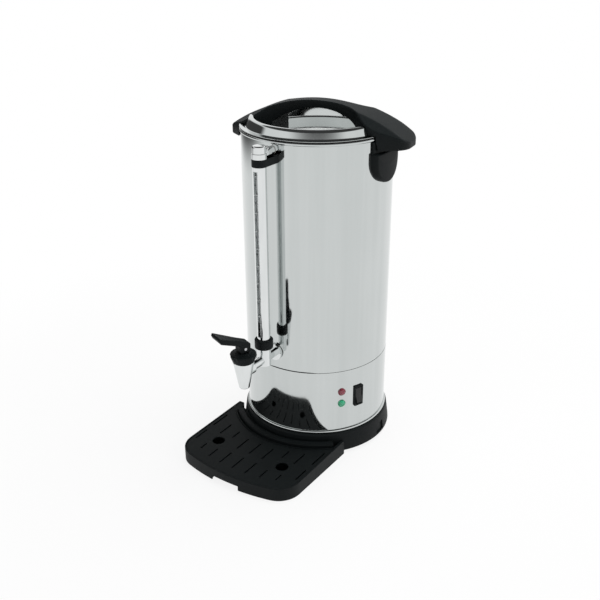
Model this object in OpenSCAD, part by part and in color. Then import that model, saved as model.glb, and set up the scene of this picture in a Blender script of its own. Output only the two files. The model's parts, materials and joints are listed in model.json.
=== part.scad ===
// Hot water urn: a tall polished tank on a steel skirt and a black foot ring,
// with a level gauge over a self-closing tap, a locking lid and a drip tray.
// The origin is in the middle of the footprint, at the surface it stands on. +Z is up and the tap
// faces -Y. Each module is drawn about the tank's axis, and placed() moves it back to its place.

/* [Tank and casing] */
// Outer radius of the tank and of the skirt below it
tank_r = 110; // [108:0.5:112]
// Thickness of the steel sheet
sheet_t = 1; // [0.8:0.1:1.2]
// Height of the seam between tank and skirt
seam_z = 140; // [138:0.5:142]
// Height of the centre of the rolled rim
rim_z = 481.2; // [479:0.2:483]
// Radius of the rolled beads at the rim and at the foot
bead_r = 2.2; // [1.8:0.1:2.4]

/* [Base] */
// Outer radius of the foot ring where it stands
base_r = 118; // [117:0.5:119]
// Height of the foot ring
base_h = 36.2; // [35:0.1:37]
// Outer radius of the raised collar that the drip tray fits round
collar_r = 130; // [128:0.5:130.5]
// Height of the collar
collar_h = 28; // [26:0.5:30]
// Half the angle that the collar spans round the front
collar_half_angle = 45; // [38:1:46]

/* [Lid and handle] */
// Radius of the lid's flange
lid_r = 111.4; // [110.5:0.1:112]
// Angle by which the lid and its handle are turned from the side brackets
lid_turn = 9.5; // [0:0.5:12]
// Distance by which the handle lies off the lid's middle, along its length
handle_shift = 6; // [0:0.1:7]
// Height of the top of the handle's arch
arch_top_z = 521; // [519:0.1:525]
// Radius of the handle's upper curve
arch_r = 230; // [226:1:236]
// Radius of the curve under the grip
grip_r = 110; // [106:1:114]
// Half the length of the handle
arch_half = 136.8; // [135:0.1:139]
// Half the width of the handle at its middle
grip_half_w = 11.2; // [10:0.1:13]
// Half the length of the opening under the grip
grip_half = 66; // [60:1:68]

/* [Level gauge] */
// Distance of the gauge from the tank's axis
gauge_y = 138; // [136:0.5:140]
// Outer radius of the gauge's shield
shield_r = 9.5; // [9:0.1:10]
// Width of the slot in the front of the shield
slot_w = 6.5; // [5:0.5:8]
// Outer radius of the glass tube
glass_r = 5.5; // [5:0.1:6]
// Height of the lowest level mark
mark_low_z = 238.4; // [236:0.2:240]
// Spacing of the level marks
mark_step = 25.5; // [24:0.1:25.8]

/* [Tap] */
// Distance of the tap's stem from the tank's axis
tap_y = 186; // [182:0.5:190]
// Height of the shank's axis
shank_z = 168; // [167:0.5:169]
// Outer radius of the shank
shank_r = 6.5; // [6:0.1:7]
// Direction of the lever, round from the front
lever_az = -21.9; // [-90:0.1:90]
// Height of the lever's pin
pin_z = 207.5; // [207:0.1:208]
// Distance from the stem to the lever's tip
lever_reach = 44.6; // [40:0.2:50]
// Radius of the valve stem
stem_r = 2.5; // [2:0.1:2.6]

/* [Controls] */
// Direction of the rocker switch, round from the front
switch_az = 68.5; // [60:0.5:75]
// Height of the middle of the switch
switch_z = 93; // [88:0.5:98]
// Direction of the two lamps, round from the front
lamp_az = 53.7; // [45:0.1:56]
// Height of the red lamp
red_z = 105.4; // [100:0.2:112]
// Height of the green lamp
green_z = 85.5; // [70:0.2:88]
// Angle of the rocker at rest
rocker_tilt = 10; // [6:1:11]
// Height of the middle of the appliance inlet at the back
inlet_z = 85; // [80:1:95]

/* [Drip tray] */
// Half the width of the tray
tray_half_w = 102.5; // [98:0.5:104]
// Distance that the tray sits to the side of the tank's axis
tray_x = -5; // [-6:0.5:0]
// Distance of the tray's front from the tank's axis
tray_front = 235; // [228:1:240]
// Radius of the curve along the tray's front
tray_front_r = 300; // [260:5:360]
// Radius of the tray's front corners
tray_corner_r = 36; // [30:1:40]
// Height of the tray's wall at the back
tray_back_z = 23.2; // [22:0.2:24]
// Angle by which the tray's top slopes down to the front
tray_slope = 1.2; // [0.5:0.1:1.6]

/* [Hidden] */
$fn = 96;
gap = 0.05;                            // clearance between pieces that sit against each other
run = 0.08;                            // running clearance of pins and of the stem
loose = 0.4;                           // clearance of pieces that lift or pull away
tank_in_r = tank_r - sheet_t;
rim_top_z = rim_z + bead_r;
foot_bead_z = base_h + bead_r;
axis_x = -handle_shift * cos(lid_turn);    // the tank's axis lies to the left of the footprint's middle
axis_y = (tray_front - base_r) / 2;        // and behind it
black = [0.09, 0.1, 0.1];
steel = [0.8, 0.81, 0.81];
dull_steel = [0.62, 0.63, 0.64];
rubber = [0.13, 0.13, 0.13];

// ---- Helpers ----

// Moves what is built about the tank's axis to its place over the footprint
module placed() {
    translate([axis_x, axis_y, 0]) children();
}

// Turns what is built at the front (-Y) to another direction round the tank
module facing(az) {
    rotate([0, 0, az]) children();
}

// Runs a shape built along +Z outwards along -Y from a height z
module outwards(z) {
    translate([0, 0, z]) rotate([90, 0, 0]) children();
}

// A solid cylinder from one height to another
module post(r, z0, z1) {
    translate([0, 0, z0]) cylinder(r = r, h = z1 - z0);
}

// A tube from one height to another
module pipe(outer, inner, z0, z1) {
    difference() {
        post(outer, z0, z1);
        post(inner, z0 - 1, z1 + 1);
    }
}

// A box given by its lowest and highest corners
module block(low, high) {
    translate(low) cube(high - low);
}

// A rounded rectangle centred on the origin
module round_rect(w, h, r) {
    intersection() {
        square([w, h], center = true);
        union() {
            square([w - 2 * r, h], center = true);
            square([w, h - 2 * r], center = true);
            for (x = [-1, 1], y = [-1, 1])
                translate([x * (w / 2 - r), y * (h / 2 - r)]) circle(r);
        }
    }
}

// A pan-head screw with its head below z0 and its shank up to z1
module screw(shank, head, head_h, z0, z1) {
    post(head, z0 - head_h, z0);
    post(shank, z0, z1);
}

// A hexagonal nut between two heights
module nut(across, bore, z0, z1) {
    difference() {
        translate([0, 0, z0]) cylinder(r = across / sqrt(3), h = z1 - z0, $fn = 6);
        post(bore, z0 - 1, z1 + 1);
    }
}

// Left-hand normal of the step from a to b, of length 1
function normal(a, b) = let (d = b - a) [d[1], -d[0]] / norm(d);

// Points of a path moved sideways by t, along the mean of the normals beside each point
function shifted(path, t) = [
    for (i = [0:len(path) - 1])
        let (
            n0 = normal(path[max(i - 1, 0)], path[max(i, 1)]),
            n1 = normal(path[min(i, len(path) - 2)], path[min(i + 1, len(path) - 1)]),
            m = n0 + n1
        )
        path[i] + m * (2 * t / (m * m))
];

// A sheet of thickness t whose one side follows a path
module sheet(path, t) {
    back = shifted(path, t);
    polygon(concat(path, [for (i = [len(back) - 1:-1:0]) back[i]]));
}

// Points of an arc from angle a0 to angle a1
function arc(centre, r, a0, a1, steps = 6) = [
    for (i = [0:steps]) let (a = a0 + (a1 - a0) * i / steps) centre + r * [cos(a), sin(a)]
];

// A wire along straight runs between points
module wire(points, r) {
    for (i = [0:len(points) - 2]) {
        d = points[i + 1] - points[i];
        translate(points[i]) rotate([0, acos(d[2] / norm(d)), atan2(d[1], d[0])])
            cylinder(r = r, h = norm(d));
    }
    for (i = [1:len(points) - 2]) translate(points[i]) sphere(1.15 * r);
}

// ---- Tank ----

gauge_top_z = 482.6;
stub_z = 471;
stub_r = 5.9;
stub_thread_r = 4.6;
clamp_low_z = 454.5;
clamp_high_z = 465;
clamp_z = (clamp_low_z + clamp_high_z) / 2;
bracket_screw_z = [452, 434];

module tank() {
    color(steel) difference() {
        rotate_extrude() {
            translate([tank_in_r, seam_z]) square([sheet_t, rim_z - seam_z]);
            translate([tank_r - 0.3, rim_z]) circle(bead_r);
        }
        outwards(shank_z) cylinder(r = shank_r + 0.1, h = 150);
        outwards(stub_z) cylinder(r = stub_thread_r + 0.1, h = 150);
        outwards(clamp_z) cylinder(r = 2.2, h = 150);
        for (az = [-90, 90], z = bracket_screw_z) facing(az) outwards(z) cylinder(r = 2.2, h = 150);
    }
}

stud_x = 22;
floor_t = 1.2;

// The pressed floor with its turned-down flange inside the skirt, and the heater's two studs
module tank_bottom() {
    color(steel) {
        rotate_extrude() polygon([
            [0, seam_z], [tank_in_r - 1.3, seam_z], [tank_in_r - 1.3, seam_z - 12],
            [tank_in_r - gap, seam_z - 12], [tank_in_r - gap, seam_z + floor_t], [0, seam_z + floor_t]
        ]);
        for (x = [-stud_x, stud_x]) translate([x, 0, 0]) post(2.5, seam_z - 16, seam_z + 0.5);
    }
}

tab_az = [45, 135, 225, 315];
tab_hole_r = 102;
tab_t = 1.2;

module skirt() {
    color(steel) difference() {
        union() {
            rotate_extrude() {
                translate([tank_in_r, foot_bead_z]) square([sheet_t, seam_z - gap - foot_bead_z]);
                translate([tank_r + 0.2, foot_bead_z]) circle(bead_r);
            }
            for (az = tab_az) facing(az)
                block([-8, -tank_r, base_h + gap], [8, -tab_hole_r + 6, base_h + gap + tab_t]);
        }
        for (az = tab_az) facing(az) translate([0, -tab_hole_r, base_h - 1]) cylinder(r = 2.2, h = 4);
        facing(switch_az) block([-6.6, -tank_r - 5, switch_z - 15], [6.6, -90, switch_z + 15]);
        for (z = [red_z, green_z]) facing(lamp_az) outwards(z) cylinder(r = lamp_body_r + 0.1, h = 150);
        facing(180) block([-14.2, -tank_r - 5, inlet_z - 10.2], [14.2, -90, inlet_z + 10.2]);
        facing(180) for (x = [-inlet_screw_x, inlet_screw_x])
            translate([x, 0, 0]) outwards(inlet_z) cylinder(r = 1.7, h = 150);
    }
}

// ---- Base ----

ring_wall = 3;
ring_in_r = 96;
ring_foot_z = 5;
boss_r = 4.6;
boss_y = 104;
plate_screw_az = [0, 90, 180, 270];
plate_low_z = 6.2;
plate_high_z = 7.4;
foot_y = 111.4;
foot_pad_r = 5.2;
notch_z = [8, 23];

// The foot ring: an inward flange that carries the skirt, a flared outer wall, the collar round
// the front, standing lumps over the feet and bosses for the bottom cover
module base_ring() {
    flange_z = base_h - ring_wall;
    color(black) difference() {
        union() {
            rotate_extrude() polygon([
                [ring_in_r, flange_z], [base_r - 6.8, flange_z], [base_r - ring_wall, ring_foot_z],
                [base_r, ring_foot_z], [base_r - 0.5, 12],
                [base_r - 3.6, flange_z], [base_r - 4.3, base_h - 0.8],
                [base_r - 5.2, base_h], [ring_in_r, base_h]
            ]);
            intersection() {
                rotate_extrude() polygon([
                    [base_r - 2.6, ring_foot_z], [collar_r, ring_foot_z], [collar_r, collar_h - 2],
                    [collar_r - 0.6, collar_h - 0.6], [collar_r - 2, collar_h], [collar_r - 9, collar_h],
                    [collar_r - 12.5, collar_h - 3], [base_r - 3, collar_h - 3]
                ]);
                linear_extrude(collar_h + 1) polygon([
                    [0, 0], for (a = [-1, -0.5, 0, 0.5, 1]) 1.5 * collar_r
                        * [sin(a * collar_half_angle), -cos(a * collar_half_angle)]
                ]);
            }
            for (az = tab_az) intersection() {
                pipe(base_r, base_r - 13, 2, ring_foot_z + 1);
                facing(az) block([-19, -base_r - 2, 0], [19, -90, ring_foot_z + 0.01]);
            }
            for (az = plate_screw_az)
                facing(az) translate([0, -boss_y, 0]) post(boss_r, plate_high_z, flange_z + 1);
        }
        for (az = tab_az) facing(az) translate([0, -tab_hole_r, 0]) post(2.2, flange_z - 1, base_h + 1);
        for (az = tab_az) facing(az) translate([0, -foot_y, 0]) post(3.05, 0, ring_foot_z + 2);
        for (az = plate_screw_az) facing(az) translate([0, -boss_y, 0]) post(1.55, 0, 26);
        facing(93.5) block([-11, -base_r - 5, notch_z[0]], [11, -base_r + 2.4, notch_z[1]]);
    }
}

// The bottom cover with its cooling slots
module base_plate() {
    color(dull_steel) difference() {
        post(112.6, plate_low_z, plate_high_z);
        for (az = plate_screw_az) facing(az) translate([0, -boss_y, 0]) post(1.8, 0, 20);
        for (az = tab_az) facing(az) translate([0, -foot_y, 0]) post(5, 0, 20);
        for (a = [0:30:330]) facing(a) block([-2, -80, 0], [2, -50, 20]);
    }
}

module base_plate_screws() {
    color(dull_steel) for (az = plate_screw_az)
        facing(az) translate([0, -boss_y, 0]) screw(1.5, 3.4, 2.2, plate_low_z, 24);
}

// Screws up through the base ring's flange and the skirt's tabs, each with its nut
module skirt_screws() {
    top = base_h + gap + tab_t;
    color(dull_steel) for (az = tab_az) facing(az) translate([0, -tab_hole_r, 0]) {
        screw(2, 3.8, 2.5, base_h - ring_wall, top + 5);
        nut(7, 2.02, top, top + 3);
    }
}

module feet() {
    color(rubber) for (az = tab_az) facing(az) translate([0, -foot_y, 0]) {
        post(foot_pad_r, 0, 2);
        post(3, 2, ring_foot_z + 0.8);
    }
}

// ---- Heater ----

heater_r = 55;
heater_low_z = seam_z - 6;
element_ring_r = 42;
element_r = 4;
element_z = heater_low_z - 0.5;
element_gap_angle = 18;
element_leg_z = 118;
element_pin_z = 110;
device_y = [17, -17, 0];
ear_x = 12;

module heater_plate() {
    color([0.72, 0.73, 0.74]) difference() {
        post(heater_r, heater_low_z, seam_z - gap);
        for (x = [-stud_x, stud_x]) translate([x, 0, 0]) post(2.7, 100, 150);
        rotate_extrude() translate([element_ring_r, element_z]) circle(element_r + gap);
        for (x = [-ear_x, ear_x], y = device_y) translate([x, y, 0]) post(1.55, 100, heater_low_z + 4.5);
    }
}

// The tubular ring, open at the back, with its two turned-down ends and their cold pins
module heating_element() {
    color([0.45, 0.4, 0.36]) {
        rotate([0, 0, 90 + element_gap_angle]) rotate_extrude(angle = 360 - 2 * element_gap_angle)
            translate([element_ring_r, element_z]) circle(element_r);
        for (a = [-element_gap_angle, element_gap_angle]) facing(180 + a) translate([0, -element_ring_r, 0]) {
            post(element_r - 0.4, element_leg_z, element_z + 1);
            post(1.8, element_pin_z, element_leg_z + 1);
        }
    }
}

module heater_nuts() {
    color(dull_steel) for (x = [-stud_x, stud_x])
        translate([x, 0, 0]) nut(8, 2.5 + gap, heater_low_z - 4, heater_low_z - gap);
}

// A snap-disc device with two ears and two blade terminals, hung under the heater plate
module snap_device() {
    top = heater_low_z - gap;
    difference() {
        union() {
            post(7.4, top - 10, top);
            for (x = [-1, 1]) translate([x * ear_x, 0, 0]) post(3.4, top - 1.5, top);
            block([-ear_x, -3.4, top - 1.5], [ear_x, 3.4, top]);
        }
        for (x = [-1, 1]) translate([x * ear_x, 0, 0]) post(1.6, top - 5, top + 5);
    }
    for (x = [-4, 4]) block([x - 0.4, -3, top - 18], [x + 0.4, 3, top - 9.9]);
}

module boil_thermostat() {
    color([0.2, 0.2, 0.22]) translate([0, device_y[0], 0]) snap_device();
}

module keep_warm_thermostat() {
    color([0.25, 0.2, 0.18]) translate([0, device_y[1], 0]) snap_device();
}

module thermal_cutout() {
    color([0.7, 0.68, 0.62]) translate([0, device_y[2], 0]) snap_device();
}

module thermostat_screws() {
    color(dull_steel) for (x = [-ear_x, ear_x], y = device_y)
        translate([x, y, 0]) screw(1.5, 2.7, 1.8, heater_low_z - 1.6, heater_low_z + 4);
}

// ---- Wiring inside the skirt ----

block_at = [-14, 44];
block_size = [28, 18, 15];

// A moulded block with three pairs of terminals, on the bottom cover
module terminal_block() {
    x0 = block_at[0];
    y0 = block_at[1];
    color([0.9, 0.88, 0.82]) difference() {
        block([x0, y0, plate_high_z], [x0 + block_size[0], y0 + block_size[1], plate_high_z + block_size[2]]);
        for (i = [0:2]) translate([x0 + 5 + i * 9, 0, plate_high_z + block_size[2] - 6]) {
            translate([0, y0 - 1, 0]) rotate([-90, 0, 0]) cylinder(r = 2, h = block_size[1] + 2);
            translate([0, y0 + 4.5, 0]) cylinder(r = 1.8, h = 10);
            translate([0, y0 + block_size[1] - 4.5, 0]) cylinder(r = 1.8, h = 10);
        }
    }
}

inlet_depth = 25;
inlet_screw_x = 20;
wire_r = 1.3;

// Wires from the inlet to the terminal block, and from there up to the element, the
// thermostats and the switch
module wiring() {
    block_top = plate_high_z + block_size[2] - 6;
    back_y = block_at[1] + block_size[1];
    pin = element_ring_r * [sin(element_gap_angle), cos(element_gap_angle)];
    color([0.75, 0.15, 0.1]) for (i = [0:2]) {
        x = block_at[0] + 5 + i * 9;
        wire([
            [x, tank_in_r - inlet_depth - 4.5, inlet_z - 4 + (i == 1 ? 8 : 0)],
            [x, back_y + 10, inlet_z - 4 + (i == 1 ? 8 : 0)],
            [x, back_y + 10, block_top],
            [x, back_y - 3, block_top]
        ], wire_r);
    }
    color([0.2, 0.3, 0.6]) {
        for (s = [-1, 1]) wire([
            [s * pin[0], pin[1], element_pin_z - 0.3],
            [s * pin[0], pin[1], 60],
            [s * 9, block_at[1] - 10, 40],
            [s * 9, block_at[1] - 10, block_top],
            [s * 9, block_at[1] + 3, block_top]
        ], wire_r);
        wire([
            [0, block_at[1] + 3, block_top],
            [0, block_at[1] - 16, block_top],
            [0, block_at[1] - 16, 90],
            [60, -24, 90],
            [76.6, -30.2, switch_z + 8]
        ], wire_r);
    }
}

// The appliance inlet: a flange shaped to the skirt, a body through it and three pins
module power_inlet() {
    front = tank_r + 3.6;
    color(black) facing(180) {
        difference() {
            union() {
                intersection() {
                    outwards(inlet_z) linear_extrude(front) round_rect(50, 26, 4);
                    block([-30, -front, inlet_z - 20], [30, -tank_r + 8, inlet_z + 20]);
                    difference() {
                        block([-30, -front, inlet_z - 20], [30, -tank_r + 8, inlet_z + 20]);
                        post(tank_r + gap, inlet_z - 30, inlet_z + 30);
                    }
                }
                block([-14, -front, inlet_z - 10], [14, -tank_r + inlet_depth, inlet_z + 10]);
            }
            outwards(inlet_z) translate([0, 0, tank_r - 14]) linear_extrude(40) round_rect(24.4, 16.4, 2);
            for (x = [-inlet_screw_x, inlet_screw_x])
                translate([x, 0, 0]) outwards(inlet_z) cylinder(r = 1.7, h = 150);
        }
        for (p = [[-7, -2], [0, 2], [7, -2]])
            block(
                [p[0] - 1, -tank_r + 2, inlet_z + p[1] - 2],
                [p[0] + 1, -tank_r + 14.5, inlet_z + p[1] + 2]
            );
        for (p = [[-9, -4], [0, 4], [9, -4]])
            block([p[0] - 0.4, -tank_r + inlet_depth - 0.5, inlet_z + p[1] - 2.5],
                [p[0] + 0.4, -tank_r + inlet_depth + 5, inlet_z + p[1] + 2.5]);
    }
}

module inlet_screws() {
    color(dull_steel) facing(180) for (x = [-inlet_screw_x, inlet_screw_x]) translate([x, 0, 0]) {
        outwards(inlet_z) {
            post(1.5, tank_r - 7, tank_r + 3.6);
            post(2.8, tank_r + 3.6 + gap, tank_r + 5.4);
            nut(5.5, 1.52, tank_r - 6.2, tank_r - 3.9);
        }
    }
}

// ---- Switch and lamps ----

pivot_y = 107;
opening_half = 14;
rocker_round = 13.6;

// The switch's bezel and body, with the bearings of the rocker
module switch_housing() {
    color(black) facing(switch_az) difference() {
        union() {
            difference() {
                outwards(switch_z) linear_extrude(tank_r + 2.5) round_rect(16, 34, 1.5);
                post(tank_r + gap, switch_z - 30, switch_z + 30);
                block([-20, 0, 0], [20, 200, 200]);
            }
            block([-6.5, -tank_r - 2.4, switch_z - 14.9], [6.5, -92, switch_z + 14.9]);
        }
        block([-5.6, -tank_r - 9, switch_z - opening_half], [5.6, -97, switch_z + opening_half]);
        translate([-6.2, -pivot_y, switch_z]) rotate([0, 90, 0]) cylinder(r = 1.5 + run, h = 12.4);
    }
}

module switch_terminals() {
    color([0.8, 0.65, 0.35]) facing(switch_az) for (z = [-8, 0, 8])
        block([-3.1, -92 + gap, switch_z + z - 0.4], [3.1, -83, switch_z + z + 0.4]);
}

// The rocker: a face with a shallow valley, ends rounded about the pivot, and two trunnions
module rocker() {
    color([0.05, 0.05, 0.05]) facing(switch_az)
    translate([0, -pivot_y, switch_z]) rotate([-rocker_tilt, 0, 0]) {
        translate([-5.3, 0, 0]) rotate([90, 0, 90]) linear_extrude(10.6) intersection() {
            circle(rocker_round);
            polygon([
                [3, -11], [3, 11], [-1, 13.6], [-7.4, 13.6], [-5, 0], [-7.4, -13.6], [-1, -13.6]
            ]);
        }
        translate([-6, 0, 0]) rotate([0, 90, 0]) cylinder(r = 1.5, h = 12);
    }
}

lamp_r = 6;
lamp_body_r = 4.7;

// A domed lens with a flange that lies on the skirt
module lamp_lens(z) {
    facing(lamp_az) outwards(z) translate([0, 0, tank_r + gap]) rotate_extrude() polygon(concat(
        [[0, 0], [lamp_r, 0], [lamp_r, 0.9], [lamp_r - 0.7, 1.5]],
        [for (a = [0:15:75]) [(lamp_r - 1.1) * cos(a), 1.5 + 2.2 * sin(a)]],
        [[0, 3.7]]
    ));
}

module red_lens() {
    color([0.55, 0.05, 0.08]) lamp_lens(red_z);
}

module green_lens() {
    color([0.12, 0.6, 0.42]) lamp_lens(green_z);
}

// Two lamp holders behind the lenses, each with its leads' blades
module lamp_bodies() {
    color([0.85, 0.85, 0.82]) for (z = [red_z, green_z]) facing(lamp_az) outwards(z) {
        post(lamp_body_r, 92, tank_r - gap);
        for (x = [-2, 2]) block([x - 0.4, -1.2, 86], [x + 0.4, 1.2, 92.1]);
    }
}

module lamp_rings() {
    color([0.3, 0.3, 0.3]) for (z = [red_z, green_z]) facing(lamp_az) outwards(z)
        pipe(7.5, lamp_body_r + 0.02, tank_r - 5.5, tank_r - sheet_t - 0.4);
}

// ---- Tap ----

shank_in_y = 96;
shank_out_y = tap_y - 10;
bore_r = 4;
tee_r = 10;
cup_low_z = 187;

// The shank with its tank flange and the T that feeds the gauge
module tap_shank() {
    color(steel) difference() {
        union() {
            outwards(shank_z) post(shank_r, shank_in_y, shank_out_y);
            outwards(shank_z) post(12.5, tank_r + 0.6, tank_r + 4.5);
            translate([0, -gauge_y, 0]) post(tee_r, shank_z - 8.5, cup_low_z - gap);
        }
        outwards(shank_z) post(bore_r, shank_in_y - 1, shank_out_y + 1);
        translate([0, -gauge_y, 0]) post(bore_r, shank_z, cup_low_z + 1);
    }
}

// The silicone rings on both sides of the tank's wall
module shank_seals() {
    color([0.75, 0.75, 0.72]) difference() {
        outwards(shank_z) {
            pipe(11, shank_r + gap, tank_r - 4, tank_r + 0.55);
        }
        pipe(tank_r + gap, tank_in_r - gap, 100, 200);
    }
}

module shank_nut() {
    color(steel) outwards(shank_z) nut(20, shank_r + gap, tank_r - 9, tank_r - 4.1);
}

cone_low_z = 143.8;
cone_high_z = 186;
cone_low_r = 7.6;
cone_high_r = 15.5;
seat_z = 162;
chamber_r = 9;

// The conical spout with its valve chamber, seat and outlet
module tap_body() {
    color(steel) translate([0, -tap_y, 0]) difference() {
        union() {
            rotate_extrude() polygon([
                [0, cone_low_z], [cone_low_r - 0.8, cone_low_z], [cone_low_r, cone_low_z + 0.8],
                [cone_high_r, cone_high_z - 0.6], [cone_high_r - 0.5, cone_high_z], [0, cone_high_z]
            ]);
            translate([0, tap_y, 0]) outwards(shank_z) post(9.2, tap_y - 18, tap_y - 6);
        }
        post(chamber_r, seat_z, cone_high_z + 1);
        post(4.5, cone_low_z - 1, seat_z + 1);
        translate([0, tap_y, 0]) outwards(shank_z) {
            post(bore_r, tap_y - 20, tap_y);
            post(shank_r + gap, tap_y - 20, shank_out_y + gap);
        }
    }
}

bonnet_top_z = 201;
spring_top_z = 196;
scallops = 8;

// The grip nut over the spout: scalloped round its edge, domed, with the stem's bore
module valve_bonnet() {
    color(black) translate([0, -tap_y, 0]) difference() {
        union() {
            rotate_extrude() polygon([
                [0, cone_high_z + gap], [15.6, cone_high_z + gap], [16.6, cone_high_z + 1.5], [18.6, 193.6],
                [19, 195.6], [18.6, 197.4], [16, 199], [11.6, 199.8], [11, 200.4], [10.6, bonnet_top_z],
                [0, bonnet_top_z]
            ]);
            post(chamber_r - gap, cone_high_z - 6, cone_high_z + 1);
        }
        for (i = [0:scallops - 1]) facing(i * 360 / scallops) translate([0, -23.2, 0]) post(6, 180, 199.4);
        post(8, cone_high_z - 7, spring_top_z);
        post(stem_r + run, 180, 210);
    }
}

cup_top_z = 172;
head_r = 4;
head_low_z = 203;
head_high_z = 212;

// The stem with its wide head, bored for the lever's pin
module valve_stem() {
    color(steel) translate([0, -tap_y, 0]) difference() {
        union() {
            post(stem_r, seat_z + 4, head_low_z + 1);
            post(head_r, head_low_z, head_high_z);
        }
        facing(lever_az) translate([-10, 0, pin_z]) rotate([0, 90, 0]) cylinder(r = 2.03, h = 20);
    }
}

module seat_cup() {
    color([0.8, 0.3, 0.2]) translate([0, -tap_y, 0]) difference() {
        union() {
            post(7, seat_z + gap, seat_z + 5);
            post(5, seat_z + 4.9, cup_top_z);
        }
        post(stem_r + 0.02, seat_z + 4, cup_top_z + 1);
    }
}

spring_r = 6;
spring_wire_r = 0.45;
spring_turns = 7;
spring_steps = 18;
spring_sides = 6;

// Point j round the wire's section, at step i along the spring
function spring_point(i, j, z0, z1) = let (
    t = i / (spring_turns * spring_steps),
    a = 360 * spring_turns * t,
    b = 360 * j / spring_sides,
    r = spring_r + spring_wire_r * cos(b)
) [r * cos(a), r * sin(a), z0 + (z1 - z0) * t + spring_wire_r * sin(b)];

// The closing spring: a round wire swept along a helix between the seat cup and the bonnet
module valve_spring() {
    rows = spring_turns * spring_steps;
    z0 = cup_top_z + spring_wire_r + 0.1;
    z1 = spring_top_z - spring_wire_r - 0.1;
    points = [for (i = [0:rows], j = [0:spring_sides - 1]) spring_point(i, j, z0, z1)];
    sides = [for (i = [0:rows - 1], j = [0:spring_sides - 1]) let (k = (j + 1) % spring_sides) [
        i * spring_sides + j, (i + 1) * spring_sides + j, (i + 1) * spring_sides + k, i * spring_sides + k
    ]];
    first = [for (j = [0:spring_sides - 1]) j];
    last = [for (j = [spring_sides - 1:-1:0]) rows * spring_sides + j];
    color(steel) translate([0, -tap_y, 0]) polyhedron(points, concat(sides, [first, last]), convexity = 8);
}

module lever_pin() {
    color(steel) translate([0, -tap_y, pin_z]) facing(lever_az)
        translate([-7.9, 0, 0]) rotate([0, 90, 0]) cylinder(r = 2, h = 15.8);
}

yoke_half = 8;
lever_t = 8;
lever_rise = 21.8;
tip_half_w = 13;
tip_round = 6;

// The lever: a yoke over the stem's head and a paddle that rises and widens to its tip
module tap_lever() {
    tip_top_z = 237;
    back_top_z = 216;
    drop = lever_t / cos(lever_rise);
    front_y = -lever_reach;
    color(black) translate([0, -tap_y, 0]) facing(lever_az) difference() {
        intersection() {
            translate([-20, 0, 0]) rotate([90, 0, 90]) linear_extrude(40) polygon([
                [yoke_half, head_low_z + 0.6], [yoke_half, back_top_z - 1.5], [yoke_half - 1.5, back_top_z],
                [front_y + 3.2, tip_top_z - 0.6], [front_y + 1.2, tip_top_z - 3.2],
                [front_y + 4.2, tip_top_z - 9],
                [-yoke_half - 1, back_top_z + 6.8 - drop], [-yoke_half, back_top_z + 4.2 - drop],
                [-yoke_half, head_low_z + 0.6], [-yoke_half + 1.6, head_low_z - 1],
                [yoke_half - 1.6, head_low_z - 1]
            ]);
            linear_extrude(300) polygon(concat(
                [
                    [-yoke_half, -yoke_half], [-yoke_half, yoke_half],
                    [yoke_half, yoke_half], [yoke_half, -yoke_half]
                ],
                arc([tip_half_w - tip_round, front_y + tip_round], tip_round, 0, -90),
                arc([-tip_half_w + tip_round, front_y + tip_round], tip_round, -90, -180)
            ));
        }
        block([-head_r - 0.3, -6.4, 190], [head_r + 0.3, 6.4, head_high_z + 2]);
        translate([-20, 0, pin_z]) rotate([0, 90, 0]) cylinder(r = 2 + run, h = 40);
    }
}

// ---- Level gauge ----

cup_r = 13.5;
cup_high_z = 201;
shield_low_z = 190.2;
slot_low_z = 206;
slot_high_z = 449;
glass_low_z = 191;
glass_high_z = 474;
shield_in_r = shield_r - 0.8;

module at_gauge() {
    translate([0, -gauge_y, 0]) children();
}

module gauge_cup() {
    color(black) at_gauge() difference() {
        rotate_extrude() polygon([
            [0, cup_low_z], [cup_r - 1.2, cup_low_z], [cup_r, cup_low_z + 1.2], [cup_r, cup_high_z - 1],
            [cup_r - 1, cup_high_z], [0, cup_high_z]
        ]);
        post(shield_r + gap, shield_low_z - gap, cup_high_z + 1);
        post(bore_r, cup_low_z - 1, cup_high_z);
    }
}

module gauge_shield() {
    color(steel) at_gauge() difference() {
        pipe(shield_r, shield_in_r, shield_low_z, clamp_high_z - gap);
        block([-slot_w / 2, -20, slot_low_z], [slot_w / 2, 0, slot_high_z]);
    }
}

module gauge_glass() {
    color([0.8, 0.88, 0.9, 0.4]) at_gauge() pipe(glass_r, glass_r - 1.5, glass_low_z, glass_high_z);
}

marks = 9;

// The level marks between the shield and the glass, one for each litre
module gauge_scale() {
    color([0.3, 0.32, 0.32]) at_gauge() for (i = [0:marks - 1])
        intersection() {
            pipe(shield_in_r - gap, glass_r + 0.4, 190, 460);
            block([-3.1, -10, mark_low_z + i * mark_step], [3.1, 0, mark_low_z + i * mark_step + 0.9]);
        }
}

module gauge_seals() {
    color(rubber) at_gauge() for (z = [glass_low_z, clamp_high_z - 5.5])
        pipe(shield_in_r - gap, glass_r + gap, z, z + 4);
}

cap_r = 10.3;
cap_top_r = 9.3;
stub_collar_r = 7.6;
stub_bore_r = 3.5;
stub_face_y = tank_r + 0.6;

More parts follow.
